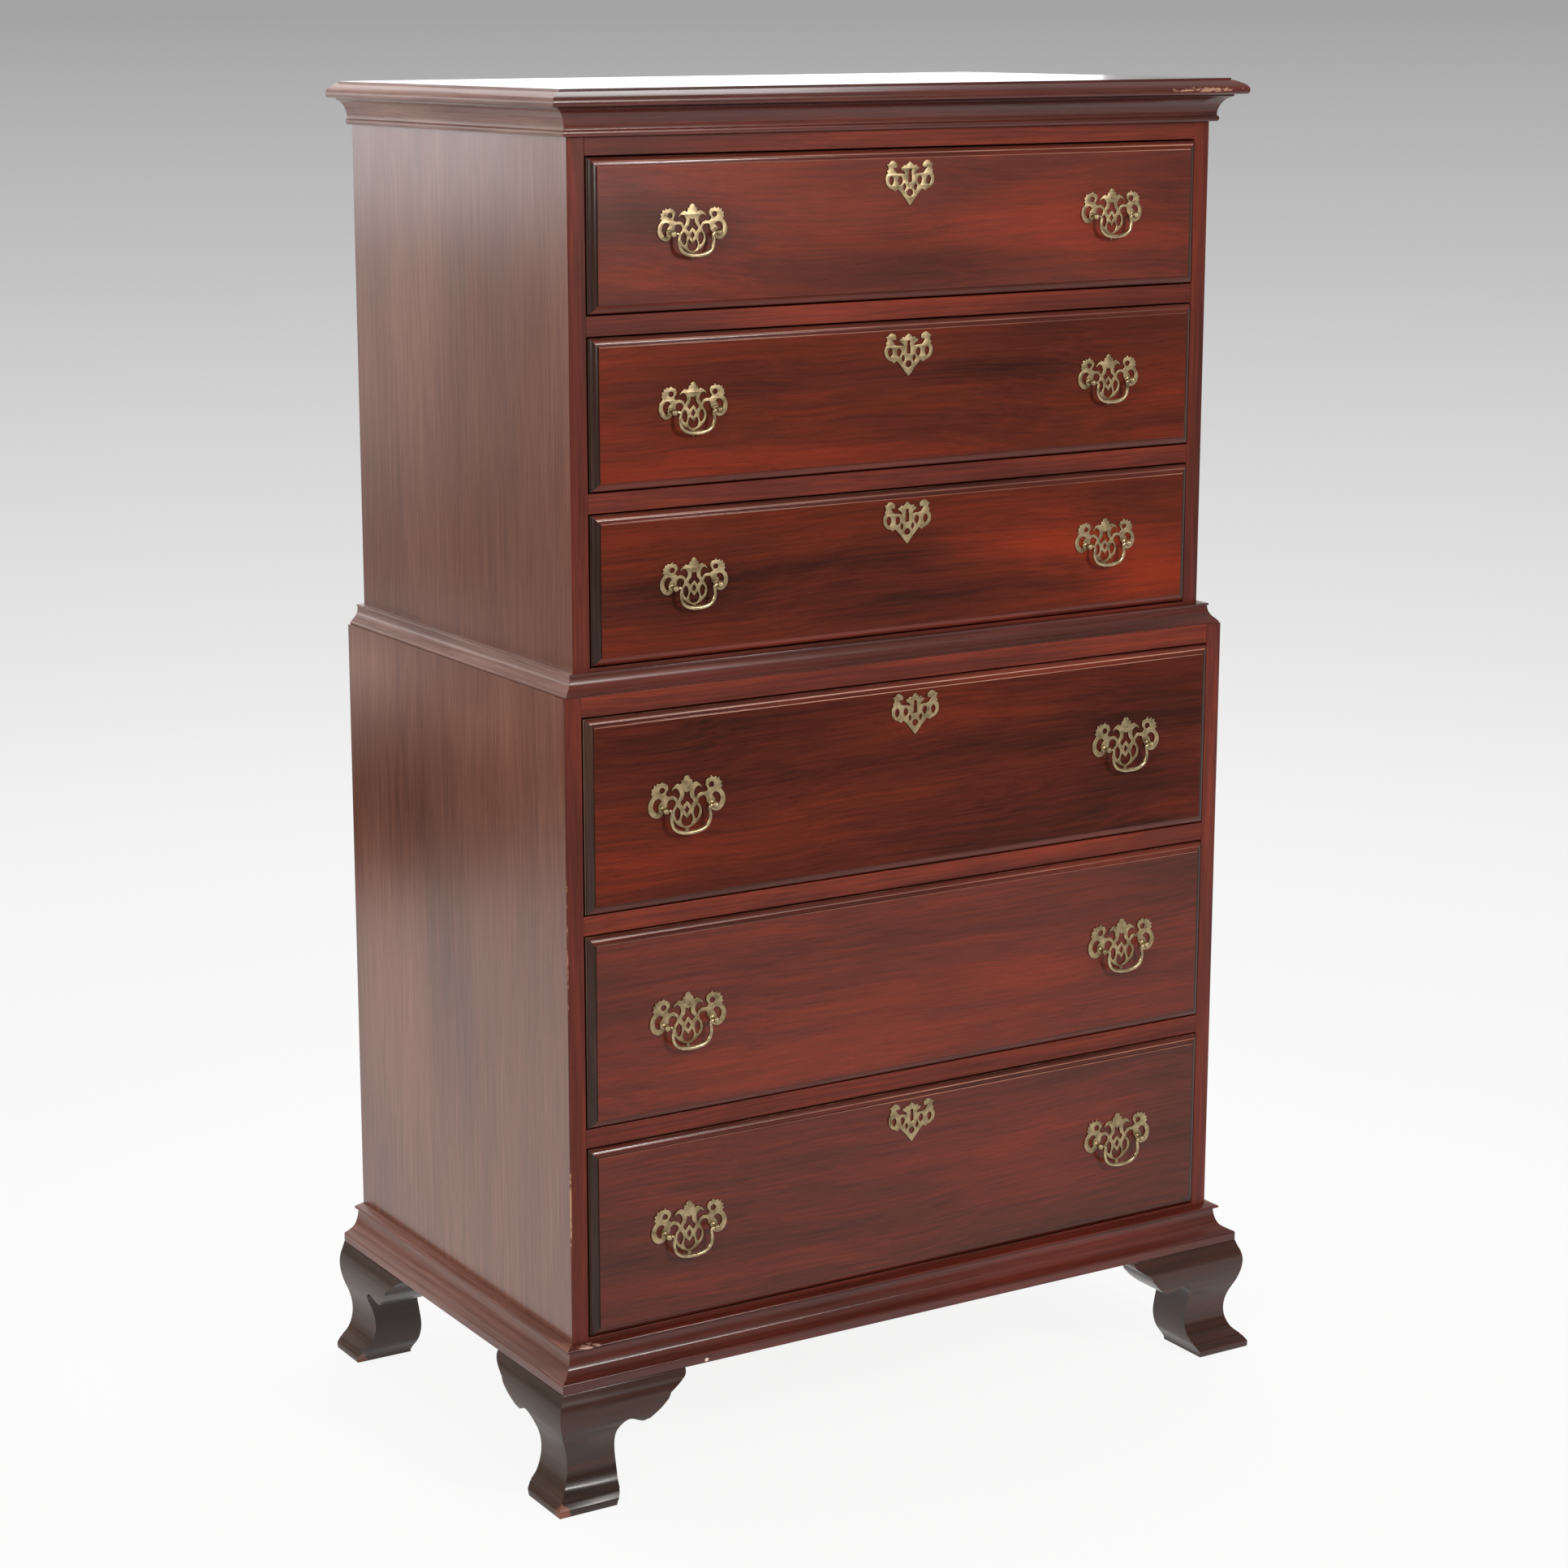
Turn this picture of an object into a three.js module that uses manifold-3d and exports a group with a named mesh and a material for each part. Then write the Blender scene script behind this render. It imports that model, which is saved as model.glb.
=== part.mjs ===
// Mahogany chest on chest: a three-drawer upper case on a three-drawer lower case with ogee bracket feet.
// Millimetres, +Z up, the front faces -Y, the origin is on the floor under the middle of the piece.
import * as THREE from 'three';
import { mergeVertices } from 'three/addons/utils/BufferGeometryUtils.js';
import Module from 'manifold-3d';

const wasm = await Module();
wasm.setup();

// Fits and joints
const joint = 0.2; // glue line left between two wooden pieces
const overrun = 4; // how far a cutter runs past what it cuts
const panelStock = 19; // sides, tops and bottoms
const backStock = 8;
const frameStock = 22; // depth of the glued face frames, front to back
const stileWidth = 21.5;
const railHeight = 22; // rails between drawers

// Lower case
const lowerWidth = 914;
const lowerDepth = 558;
const lowerDrawerOpening = 226;
const lowerSill = 50; // from the underside of the case to the lowest drawer
const lowerTopRail = 23;

// Upper case
const upperSideStep = 22.5; // the upper case is narrower by this much at each side
const upperFrontStep = 20; // and stands back by this much at the front
const upperWidth = lowerWidth - 2 * upperSideStep;
const upperDepth = lowerDepth - upperFrontStep;
const upperDrawerOpening = 171;
const upperSill = 27;
const upperTopRail = 52; // its upper part is behind the cornice
const drawersPerCase = 3;

// Top board
const boardThickness = 19;
const boardOverhang = 33.6;
const boardStepIn = 16.2; // from the nose back to the raised field
const boardStepHeight = 2.4;
const boardUnderRound = 2; // how far the nose turns back under itself

// Mouldings: height and projection, small flats named
const corniceHeight = 31.5;
const corniceSpread = 20.2;
const corniceBeadHeight = 6.6;
const corniceBeadSpread = 8.4;
const corniceThroat = 6.4; // projection at the deepest point of the cove
const waistHeight = 24;
const waistSpread = 19.7;
const waistLipHeight = 2.6;
const waistLipSpread = 10.6;
const waistThroat = 9.2;
const baseHeight = 47.5;
const baseSpread = 28;
const baseFascia = 9.5; // plain band at the bottom of the base moulding
const baseLipHeight = 3.6;
const baseLipSpread = 12.7;
const baseLedgeFall = 3.6; // the ledge slopes down to the lip
const baseThroat = 8.1;

// Ogee bracket feet
const footHeight = 142;
const footSpread = 42; // how far the pad stands out from the case
const footReach = 133; // from the case corner to the wing tip
const footPad = 45; // inner edge of the solid corner block, from the case corner
const footWingStock = 26;
const rearFootExtra = 26; // rear feet have no return, so the side board starts at the back

// Drawers
const frontProud = 8;
const frontTongue = 14; // how far the front board reaches back into the opening
const frontGap = 2;
const frontRoundWidth = 9; // width of the thumbnail moulding
const frontStep = 1.8; // fillet between the raised field and the moulding
const boxStock = 12;
const boxBottomStock = 6;
const boxBottomRise = 9; // bottom panel sits in grooves this far above the side's edge
const boxHeadroom = 15; // the sides stop short of the opening's top
const boxSideClear = 1.5;
const boxLift = 0.5;
const boxBackClear = 20;
const runnerWidth = 32;

// Brass pulls and escutcheons
const plateThickness = 1.6;
const upperPlateWidth = 89;
const upperPostSpacing = 58;
const upperBailDrop = 24;
const lowerPlateWidth = 101.5;
const lowerPostSpacing = 64.5;
const lowerBailDrop = 28;
const pullInset = 128; // from the opening's side to the middle of the pull
const pivotOut = 8.5; // bail axis in front of the plate
const postRadius = 2;
const postBaseRadius = 4.2;
const postBaseHeight = 1.4;
const ballRadius = 3.9;
const bailRadius = 2.3;
const bailPinRadius = 1.4;
const bailPinClear = 0.35;
const bailPinPast = 1.4; // how far the pin runs past the middle of the ball
const bailEndClear = 1.8; // between a bail arm and the ball beside it
const escutcheonWidth = 67;
const escutcheonHeight = 50;
const escutcheonDrop = 40; // from the opening's top to the middle of the plate
const plainDrawer = 'drawer_5'; // the one drawer without an escutcheon

// Heights and planes that follow from the sizes above
const back = (lowerDepth + footSpread) / 2;
const lowerFront = back - lowerDepth;
const upperFront = back - upperDepth;
const stack = drawersPerCase - 1;
const lowerBottom = footHeight;
const lowerTop = lowerBottom + lowerSill + drawersPerCase * lowerDrawerOpening + stack * railHeight + lowerTopRail;
const upperTop = lowerTop + upperSill + drawersPerCase * upperDrawerOpening + stack * railHeight + upperTopRail;
const chestHeight = upperTop + boardThickness;

// Colours, one material per use
const looks = {
  frame: [0x5a2a22, 0.42, 0],
  side: [0x6f4a3e, 0.48, 0],
  top: [0x6a453a, 0.38, 0],
  moulding: [0x562a22, 0.38, 0],
  front: [0x632a24, 0.36, 0],
  foot: [0x4d2a22, 0.42, 0],
  inner: [0xa98357, 0.7, 0],
  brass: [0xa9976a, 0.38, 1],
};

const chest = new THREE.Group();
chest.name = 'chest_on_chest';

// Solids in and out of the boolean library
function toSolid(geometry) {
  const bare = geometry.clone();
  bare.deleteAttribute('normal');
  bare.deleteAttribute('uv');
  const merged = mergeVertices(bare, 1e-4);
  return new wasm.Manifold(new wasm.Mesh({
    numProp: 3,
    vertProperties: merged.attributes.position.array,
    triVerts: new Uint32Array(merged.index.array),
  }));
}

function toGeometry(solid) {
  const mesh = solid.getMesh();
  const geometry = new THREE.BufferGeometry();
  geometry.setAttribute('position', new THREE.BufferAttribute(new Float32Array(mesh.vertProperties), 3));
  geometry.setIndex(new THREE.BufferAttribute(new Uint32Array(mesh.triVerts), 1));
  const flat = geometry.toNonIndexed();
  flat.computeVertexNormals();
  return flat;
}

function united(first, ...others) {
  let solid = toSolid(first);
  for (const other of others) solid = solid.add(toSolid(other));
  return toGeometry(solid);
}

function cut(first, ...others) {
  let solid = toSolid(first);
  for (const other of others) solid = solid.subtract(toSolid(other));
  return toGeometry(solid);
}

function addPiece(name, geometry, look, position = [0, 0, 0], parent = chest) {
  const [color, roughness, metalness] = looks[look];
  const mesh = new THREE.Mesh(geometry, new THREE.MeshStandardMaterial({ color, roughness, metalness }));
  mesh.name = name;
  mesh.position.set(...position);
  parent.add(mesh);
  return mesh;
}

// A box between two corners
function block(x0, x1, y0, y1, z0, z1) {
  const box = new THREE.BoxGeometry(x1 - x0, y1 - y0, z1 - z0);
  return box.translate((x0 + x1) / 2, (y0 + y1) / 2, (z0 + z1) / 2);
}

// Mirrors a geometry left to right and keeps its faces pointing out
function mirrored(geometry) {
  const flat = geometry.index ? geometry.toNonIndexed() : geometry.clone();
  const p = flat.attributes.position;
  for (let i = 0; i < p.count; i += 3) {
    const corners = [0, 2, 1].map((k) => [-p.getX(i + k), p.getY(i + k), p.getZ(i + k)]);
    corners.forEach((c, k) => p.setXYZ(i + k, ...c));
  }
  flat.computeVertexNormals();
  return flat;
}

// Joins rings of equal count into one closed body, capped at both ends
function loft(rings, cap) {
  const positions = rings.flat(2);
  const index = [];
  const n = rings[0].length;
  for (let r = 0; r + 1 < rings.length; r += 1) {
    for (let i = 0; i < n; i += 1) {
      const a = r * n + i;
      const b = r * n + (i + 1) % n;
      index.push(a, b, b + n, a, b + n, a + n);
    }
  }
  const last = (rings.length - 1) * n;
  for (const [a, b, c] of cap) {
    index.push(a, c, b);
    index.push(last + a, last + b, last + c);
  }
  const geometry = new THREE.BufferGeometry();
  geometry.setAttribute('position', new THREE.Float32BufferAttribute(positions, 3));
  geometry.setIndex(index);
  const flat = geometry.toNonIndexed();
  flat.computeVertexNormals();
  return flat;
}

// Runs a moulding profile of [projection, height] along the left side, front and right side with mitred corners
function mitredRun(profile, halfWidth, frontPlane, z) {
  const contour = profile.map(([o, h]) => new THREE.Vector2(o, h));
  if (!THREE.ShapeUtils.isClockWise(contour)) {
    contour.reverse();
  }
  const cap = THREE.ShapeUtils.triangulateShape(contour, []).map(([a, b, c]) => [a, c, b]);
  const stations = [
    (o, h) => [-halfWidth - o, back, z + h],
    (o, h) => [-halfWidth - o, frontPlane - o, z + h],
    (o, h) => [halfWidth + o, frontPlane - o, z + h],
    (o, h) => [halfWidth + o, back, z + h],
  ];
  return loft(stations.map((place) => contour.map(({ x, y }) => place(x, y))), cap);
}

// Stacks rectangles of [x0, x1, y0, y1, z] into one body
function stackedRects(rects) {
  const rings = rects.map(([x0, x1, y0, y1, z]) => [[x0, y0, z], [x1, y0, z], [x1, y1, z], [x0, y1, z]]);
  return loft(rings, [[0, 1, 2], [0, 2, 3]]);
}

// A quarter round from (0, 0) to (width, height), bulging towards (0, height)
function quarterRound(width, height, steps) {
  const points = [];
  for (let i = 0; i <= steps; i += 1) {
    const angle = (i / steps) * (Math.PI / 2);
    points.push([width * (1 - Math.cos(angle)), height * Math.sin(angle)]);
  }
  return points;
}

// A hollow curve between two points, its throat on the side of the first
function cove([x0, y0], [x1, y1], steps) {
  const points = [];
  for (let i = 0; i <= steps; i += 1) {
    const angle = (i / steps) * (Math.PI / 2);
    points.push([x0 + (x1 - x0) * (1 - Math.cos(angle)), y0 + (y1 - y0) * Math.sin(angle)]);
  }
  return points;
}

// Case sides with the runners that carry the drawers above the lowest one
function caseSide(halfWidth, frontPlane, z0, z1, runnerTops) {
  const inner = -halfWidth + panelStock;
  const y0 = frontPlane + frameStock + joint;
  const panel = block(-halfWidth, inner, y0, back, z0, z1);
  const runners = runnerTops.map((top) => (
    block(inner - panelStock / 2, inner + runnerWidth, y0, back - backStock - joint, top - railHeight, top)
  ));
  return united(panel, ...runners);
}

// A face frame: two stiles with rails glued between them
function faceFrame(halfWidth, frontPlane, z0, z1, openings) {
  const shape = new THREE.Shape([
    new THREE.Vector2(-halfWidth, z0),
    new THREE.Vector2(halfWidth, z0),
    new THREE.Vector2(halfWidth, z1),
    new THREE.Vector2(-halfWidth, z1),
  ]);
  const inner = halfWidth - stileWidth;
  shape.holes = openings.map(([low, high]) => new THREE.Path([
    new THREE.Vector2(-inner, low),
    new THREE.Vector2(-inner, high),
    new THREE.Vector2(inner, high),
    new THREE.Vector2(inner, low),
  ]));
  const frame = new THREE.ExtrudeGeometry(shape, { depth: frameStock, bevelEnabled: false });
  frame.rotateX(Math.PI / 2);
  return frame.translate(0, frontPlane + frameStock, 0);
}

// Openings of one case, listed from the top
function openingsOf(lowest, height) {
  const spans = [];
  for (let i = stack; i >= 0; i -= 1) {
    const low = lowest + i * (height + railHeight);
    spans.push([low, low + height]);
  }
  return spans;
}

const lowerOpenings = openingsOf(lowerBottom + lowerSill, lowerDrawerOpening);
const upperOpenings = openingsOf(lowerTop + upperSill, upperDrawerOpening);

// The two cases
function addCase(prefix, width, frontPlane, z0, z1, openings) {
  const half = width / 2;
  const runnerTops = openings.slice(0, -1).map(([low]) => low);
  const side = caseSide(half, frontPlane, z0, z1, runnerTops);
  const bottomTop = openings[openings.length - 1][0];
  const innerHalf = half - panelStock - joint;
  const innerFront = frontPlane + frameStock + joint;
  const innerBack = back - backStock - joint;
  addPiece(`${prefix}_face_frame`, faceFrame(half, frontPlane, z0, z1, openings), 'frame');
  addPiece(`${prefix}_side_left`, side, 'side');
  addPiece(`${prefix}_side_right`, mirrored(side), 'side');
  const bottom = block(-innerHalf, innerHalf, innerFront, innerBack, bottomTop - panelStock, bottomTop);
  addPiece(`${prefix}_bottom`, bottom, 'inner');
  const backTop = z1;
  addPiece(`${prefix}_back`, block(-innerHalf, innerHalf, back - backStock, back, z0, backTop), 'inner');
}

const lowerStart = lowerBottom + joint;
const upperStart = lowerTop + joint;
addCase('lower', lowerWidth, lowerFront, lowerStart, lowerTop, lowerOpenings);
addCase('upper', upperWidth, upperFront, upperStart, upperTop, upperOpenings);

const lidHalf = lowerWidth / 2 - panelStock - joint;
const lidFront = lowerFront + frameStock + joint;
const lidBack = back - backStock - joint;
addPiece('lower_top', block(-lidHalf, lidHalf, lidFront, lidBack, lowerTop - panelStock, lowerTop), 'inner');

// Top board with a thumbnail edge: raised field, small step, quarter round and a turned-under nose
function topBoard() {
  const half = upperWidth / 2;
  const noseHeight = boardThickness - boardStepHeight;
  const underside = noseHeight / 3;
  const rollWidth = boardStepIn - boardUnderRound / 2;
  const roll = quarterRound(rollWidth, noseHeight - underside, 5);
  const rings = [
    [boardOverhang - boardUnderRound, 0],
    ...roll.map(([w, h]) => [boardOverhang - w, underside + h]),
    [boardOverhang - boardStepIn, noseHeight],
    [boardOverhang - boardStepIn, boardThickness],
  ];
  const z = upperTop + joint;
  const rect = ([o, h]) => [-half - o, half + o, upperFront - o, back, z + h - joint * (h / boardThickness)];
  return stackedRects(rings.map(rect));
}
addPiece('top_board', topBoard(), 'top');

// Mouldings
const corniceProfile = [
  [joint, 0],
  [corniceBeadSpread - joint, 0],
  [corniceBeadSpread, corniceBeadHeight / 2],
  ...cove([corniceThroat, corniceBeadHeight], [corniceSpread, corniceHeight - boardStepHeight], 6),
  [corniceSpread, corniceHeight - joint],
  [joint, corniceHeight - joint],
];
addPiece(
  'cornice_moulding',
  mitredRun(corniceProfile, upperWidth / 2, upperFront, upperTop - corniceHeight),
  'moulding',
);

const waistProfile = [
  [joint, joint],
  [waistSpread, joint],
  [waistSpread, waistLipHeight],
  ...cove([waistThroat, waistHeight - waistLipHeight], [waistSpread, waistLipHeight], 6).reverse().slice(1),
  [waistLipSpread, waistHeight - waistLipHeight],
  [waistLipSpread, waistHeight],
  [joint, waistHeight],
];
addPiece('waist_moulding', mitredRun(waistProfile, upperWidth / 2, upperFront, lowerTop), 'moulding');

const baseLipTop = baseHeight - baseLedgeFall;
const baseProfile = [
  [joint, joint],
  [baseSpread, joint],
  [baseSpread, baseFascia],
  ...cove([baseThroat, baseLipTop - baseLipHeight], [baseSpread - joint, baseFascia + joint], 7).reverse(),
  [baseLipSpread, baseLipTop - baseLipHeight],
  [baseLipSpread, baseLipTop],
  [joint, baseHeight],
];
addPiece('base_moulding', mitredRun(baseProfile, lowerWidth / 2, lowerFront, lowerBottom), 'moulding');

// Foot face from the floor up: shares of the pad's spread and of the foot's height
const footFaceShares = [
  [0.97, 0],
  [1, 0.04],
  [0.98, 0.077],
  [0.79, 0.122],
  [0.62, 0.178],
  [0.5, 0.263],
  [0.46, 0.345],
  [0.49, 0.443],
  [0.58, 0.522],
  [0.73, 0.631],
  [0.826, 0.745],
  [0.845, 0.828],
  [0.783, 0.908],
  [0.733, 0.952],
];
// Bracket outline from the wing tip down to the floor: shares of the reach and of the foot's height
const footOutlineShares = [
  [1, 1],
  [0.985, 0.955],
  [0.92, 0.905],
  [0.82, 0.845],
  [0.625, 0.648],
  [0.56, 0.637],
  [0.45, 0.68],
  [0.36, 0.665],
  [0.305, 0.6],
  [0.315, 0.45],
  [0.33, 0.3],
  [0.325, 0.19],
  [0.3, 0.11],
  [0.255, 0.05],
  [0.25, 0],
];

// The space outside a bracket outline, as a slab that cuts the other way through the foot
function bracketCutter(shift) {
  const outline = footOutlineShares.map(([s, h]) => new THREE.Vector2(s * footReach + shift, h * footHeight));
  const far = footReach + shift + overrun;
  outline[0].y = footHeight + overrun;
  outline[outline.length - 1].y = -overrun;
  outline.push(new THREE.Vector2(far, -overrun));
  outline.push(new THREE.Vector2(far, footHeight + overrun));
  const depth = footReach + rearFootExtra + footSpread + 2 * overrun;
  const slab = new THREE.ExtrudeGeometry(new THREE.Shape(outline), { depth, bevelEnabled: false });
  slab.rotateX(Math.PI / 2);
  return slab.translate(0, depth - footSpread - overrun, 0);
}

// A foot in its own frame: x and y run inwards from the case corner
function footGeometry(rear) {
  const shift = rear ? rearFootExtra : 0;
  const face = footFaceShares.map(([s, h]) => [s * footSpread, h * footHeight]);
  face.push([baseSpread, footHeight]);
  const far = footReach + overrun / 2;
  const body = stackedRects(face.map(([o, h]) => [-o, far, rear ? 0 : -o, far + shift, h]));
  const across = bracketCutter(0);
  const along = bracketCutter(shift);
  along.rotateZ(Math.PI / 2);
  along.scale(-1, 1, 1);
  const inner = footPad + shift;
  const tall = footHeight + overrun;
  const long = footReach + shift + overrun;
  const yWing = rear ? 0 : footWingStock;
  const hollowAcross = block(footPad, long, rear ? -overrun : yWing, long, -overrun, tall);
  const hollowAlong = block(footWingStock, long, inner, long, -overrun, tall);
  const turned = mirroredWinding(along);
  return cut(body, across, turned, hollowAcross, hollowAlong);
}

// Turns the faces of a geometry that a mirror has left inside out
function mirroredWinding(geometry) {
  const flat = geometry.index ? geometry.toNonIndexed() : geometry.clone();
  const p = flat.attributes.position;
  for (let i = 0; i < p.count; i += 3) {
    const b = [p.getX(i + 1), p.getY(i + 1), p.getZ(i + 1)];
    p.setXYZ(i + 1, p.getX(i + 2), p.getY(i + 2), p.getZ(i + 2));
    p.setXYZ(i + 2, ...b);
  }
  flat.computeVertexNormals();
  return flat;
}

const footCorner = lowerWidth / 2;
const frontFoot = footGeometry(false);
const rearFoot = footGeometry(true);
rearFoot.scale(1, -1, 1);
const rearFootLeft = mirroredWinding(rearFoot);
addPiece('foot_front_left', frontFoot, 'foot', [-footCorner, lowerFront, 0]);
addPiece('foot_front_right', mirrored(frontFoot), 'foot', [footCorner, lowerFront, 0]);
addPiece('foot_rear_left', rearFootLeft, 'foot', [-footCorner, back, 0]);
addPiece('foot_rear_right', mirrored(rearFootLeft), 'foot', [footCorner, back, 0]);

// A drawer front: flat board, thumbnail moulding round it, raised field
function drawerFront(width, height) {
  const round = frontProud - frontStep;
  const rings = [
    [0, -frontTongue],
    ...quarterRound(frontRoundWidth, round, 3),
    [frontRoundWidth, frontProud],
  ];
  const rect = ([inset, out]) => [-width / 2 + inset, width / 2 - inset, -height / 2 + inset, height / 2 - inset, out];
  const front = stackedRects(rings.map(rect));
  return front.rotateX(Math.PI / 2);
}

// A drawer box: two sides, back and a bottom panel in grooves, open at the top and towards the front board
function drawerBox(width, height, depth) {
  const half = width / 2;
  const shell = block(-half, half, 0, depth, 0, height);
  const floor = boxBottomRise + boxBottomStock;
  const inside = block(-half + boxStock, half - boxStock, -overrun, depth - boxStock, floor, height + overrun);
  const under = block(-half + boxStock, half - boxStock, -overrun, depth - boxStock, -overrun, boxBottomRise);
  return cut(shell, inside, under);
}

// Pull plate, right half from the top: shares of the plate's width, height counted from the post axis
const plateHalfShares = [
  [0, 0.359],
  [0.034, 0.329],
  [0.066, 0.293],
  [0.086, 0.268],
  [0.142, 0.285],
  [0.178, 0.247],
  [0.207, 0.193],
  [0.139, 0.21],
  [0.105, 0.17],
  [0.101, 0.134],
  [0.124, 0.083],
  [0.151, 0.119],
  [0.203, 0.139],
  [0.251, 0.142],
  [0.271, 0.162],
  [0.236, 0.23],
  [0.262, 0.295],
  [0.327, 0.325],
  [0.386, 0.28],
  [0.421, 0.293],
  [0.433, 0.225],
  [0.465, 0.191],
  [0.431, 0.16],
  [0.474, 0.113],
  [0.5, 0.03],
  [0.474, -0.036],
  [0.439, -0.076],
  [0.392, -0.095],
  [0.34, -0.085],
  [0.292, -0.03],
  [0.256, 0.026],
  [0.248, 0.072],
  [0.2, 0.106],
  [0.145, 0.068],
  [0.174, -0.005],
  [0.189, -0.075],
  [0.168, -0.15],
  [0.127, -0.195],
  [0.021, -0.254],
  [0, -0.337],
];
const plateHoleShares = [
  [[-0.032, 0.182], [0.032, 0.182], [0.046, 0.1], [0.08, 0.049], [0.05, 0.012], [0, 0.066], [-0.05, 0.012],
    [-0.08, 0.049], [-0.046, 0.1]],
  [[0, 0.015], [0.031, -0.036], [0, -0.084], [-0.031, -0.036]],
  [[-0.05, -0.082], [0, -0.1385], [0.05, -0.082], [0.07, -0.15], [0.045, -0.215], [0, -0.23], [-0.045, -0.215],
    [-0.07, -0.15]],
];
const plateSideHoleShares = [
  [[0.121, 0.009], [0.158, -0.06], [0.142, -0.127], [0.115, -0.158], [0.086, -0.07]],
  [[0.322, 0.1], [0.356, 0.134], [0.4, 0.122], [0.43, 0.07], [0.413, -0.008], [0.378, -0.034], [0.372, 0.03]],
  [[0.28, 0.2225], [0.315, 0.2575], [0.35, 0.2225], [0.315, 0.1875]],
];

// Escutcheon, right half from the top: shares of its width and height, from its middle
const escutcheonHalfShares = [
  [0, 0.49],
  [0.075, 0.4],
  [0.129, 0.413],
  [0.194, 0.347],
  [0.144, 0.281],
  [0.104, 0.19],
  [0.164, 0.22],
  [0.243, 0.226],
  [0.303, 0.281],
  [0.345, 0.365],
  [0.253, 0.369],
  [0.263, 0.45],
  [0.353, 0.51],
  [0.422, 0.447],
  [0.442, 0.27],
  [0.487, 0.16],
  [0.49, 0.06],
  [0.452, -0.06],
  [0.353, -0.14],
  [0.3, -0.175],
  [0.243, -0.127],
  [0.194, -0.193],
  [0.124, -0.292],
  [0.065, -0.39],
  [0, -0.49],
];
const escutcheonHoleShares = [
  [[-0.022, 0.3], [0, 0.325], [0.022, 0.3], [0.026, 0.22], [0.03, 0.02], [-0.03, 0.02], [-0.026, 0.22]],
  [[0, -0.125], [0.05, -0.16], [0.05, -0.25], [0, -0.29], [-0.05, -0.25], [-0.05, -0.16]],
];
const escutcheonSideHoleShares = [
  [[0.115, 0.005], [0.145, -0.05], [0.112, -0.165], [0.082, -0.08]],
  [[0.2, 0.17], [0.245, 0.09], [0.2, -0.045], [0.155, 0.09]],
  [[0.375, 0.17], [0.425, 0.08], [0.39, -0.04], [0.345, -0.01], [0.335, 0.1]],
];

// A pierced brass plate standing in the x-z plane, its back on y = 0 and its front towards -y
function piercedPlate(halfShares, holes, sideHoles, width, height) {
  const at = ([x, z]) => new THREE.Vector2(x * width, z * height);
  const flip = ([x, z]) => [-x, z];
  const left = halfShares.slice(1, -1).reverse().map(flip);
  const shape = new THREE.Shape([...halfShares, ...left].reverse().map(at));
  const pairs = sideHoles.flatMap((hole) => [hole, hole.map(flip)]);
  shape.holes = [...holes, ...pairs].map((hole) => new THREE.Path(hole.map(at)));
  const plate = new THREE.ExtrudeGeometry(shape, { depth: plateThickness, bevelEnabled: false });
  return plate.rotateX(Math.PI / 2);
}

// A post turned about y: rosette, neck and ball, bored along x for the bail's pin
function post(x) {
  const out = plateThickness + pivotOut;
  const sunk = plateThickness / 2;
  const profile = [
    [0, sunk],
    [postBaseRadius, sunk],
    [postBaseRadius, plateThickness + postBaseHeight / 2],
    [postRadius, plateThickness + postBaseHeight],
    [postRadius, out - ballRadius * Math.SQRT1_2],
    [ballRadius, out - ballRadius / 3],
    [ballRadius, out + ballRadius / 3],
    [0, out + ballRadius],
  ];
  const turned = new THREE.LatheGeometry(profile.map(([r, h]) => new THREE.Vector2(r, h)), 6);
  turned.rotateX(Math.PI);
  return turned.translate(x, 0, 0);
}

function boreAlongX(x, radius, length) {
  const pin = new THREE.CylinderGeometry(radius, radius, length, 6);
  pin.rotateZ(Math.PI / 2);
  return pin.translate(x, -plateThickness - pivotOut, 0);
}

function backplate(plateWidth, spacing) {
  const plate = piercedPlate(plateHalfShares, plateHoleShares, plateSideHoleShares, plateWidth, plateWidth);
  const ends = [-1, 1].map((side) => side * spacing / 2);
  const boreRadius = bailPinRadius + bailPinClear;
  const boreEnd = (2 * bailPinPast + ballRadius) / 2;
  const bores = [-1, 1].map((side) => (
    boreAlongX(side * (spacing / 2 - ballRadius + boreEnd), boreRadius, 2 * boreEnd + bailPinClear)
  ));
  return cut(united(plate, ...ends.map(post)), ...bores);
}

// A bail: bent rod hanging from two pins, in the frame of the pull
// Right half from the pin down: shares of the arm's distance from the middle and of the drop
const bailShares = [
  [1, -0.05],
  [1.06, 0.34],
  [0.96, 0.7],
  [0.5, 0.965],
];

function bail(spacing, drop) {
  const arm = spacing / 2 - ballRadius - bailEndClear - bailRadius;
  const right = bailShares.map(([a, d]) => new THREE.Vector3(a * arm, 0, -d * drop));
  const left = right.map((p) => new THREE.Vector3(-p.x, 0, p.z)).reverse();
  const bottom = new THREE.Vector3(0, 0, -drop);
  const path = new THREE.CatmullRomCurve3([...right, bottom, ...left]);
  const ring = [];
  for (let i = 0; i < 6; i += 1) {
    const angle = (i / 6) * Math.PI * 2;
    ring.push(new THREE.Vector2(bailRadius * Math.cos(angle), bailRadius * Math.sin(angle)));
  }
  const rod = new THREE.ExtrudeGeometry(new THREE.Shape(ring), { steps: 16, extrudePath: path });
  rod.translate(0, -plateThickness - pivotOut, 0);
  const pinEnd = spacing / 2 + bailPinPast;
  const pins = [-1, 1].map((side) => (
    boreAlongX(side * (pinEnd + arm) / 2, bailPinRadius, pinEnd - arm)
  ));
  return united(rod, ...pins);
}

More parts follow.
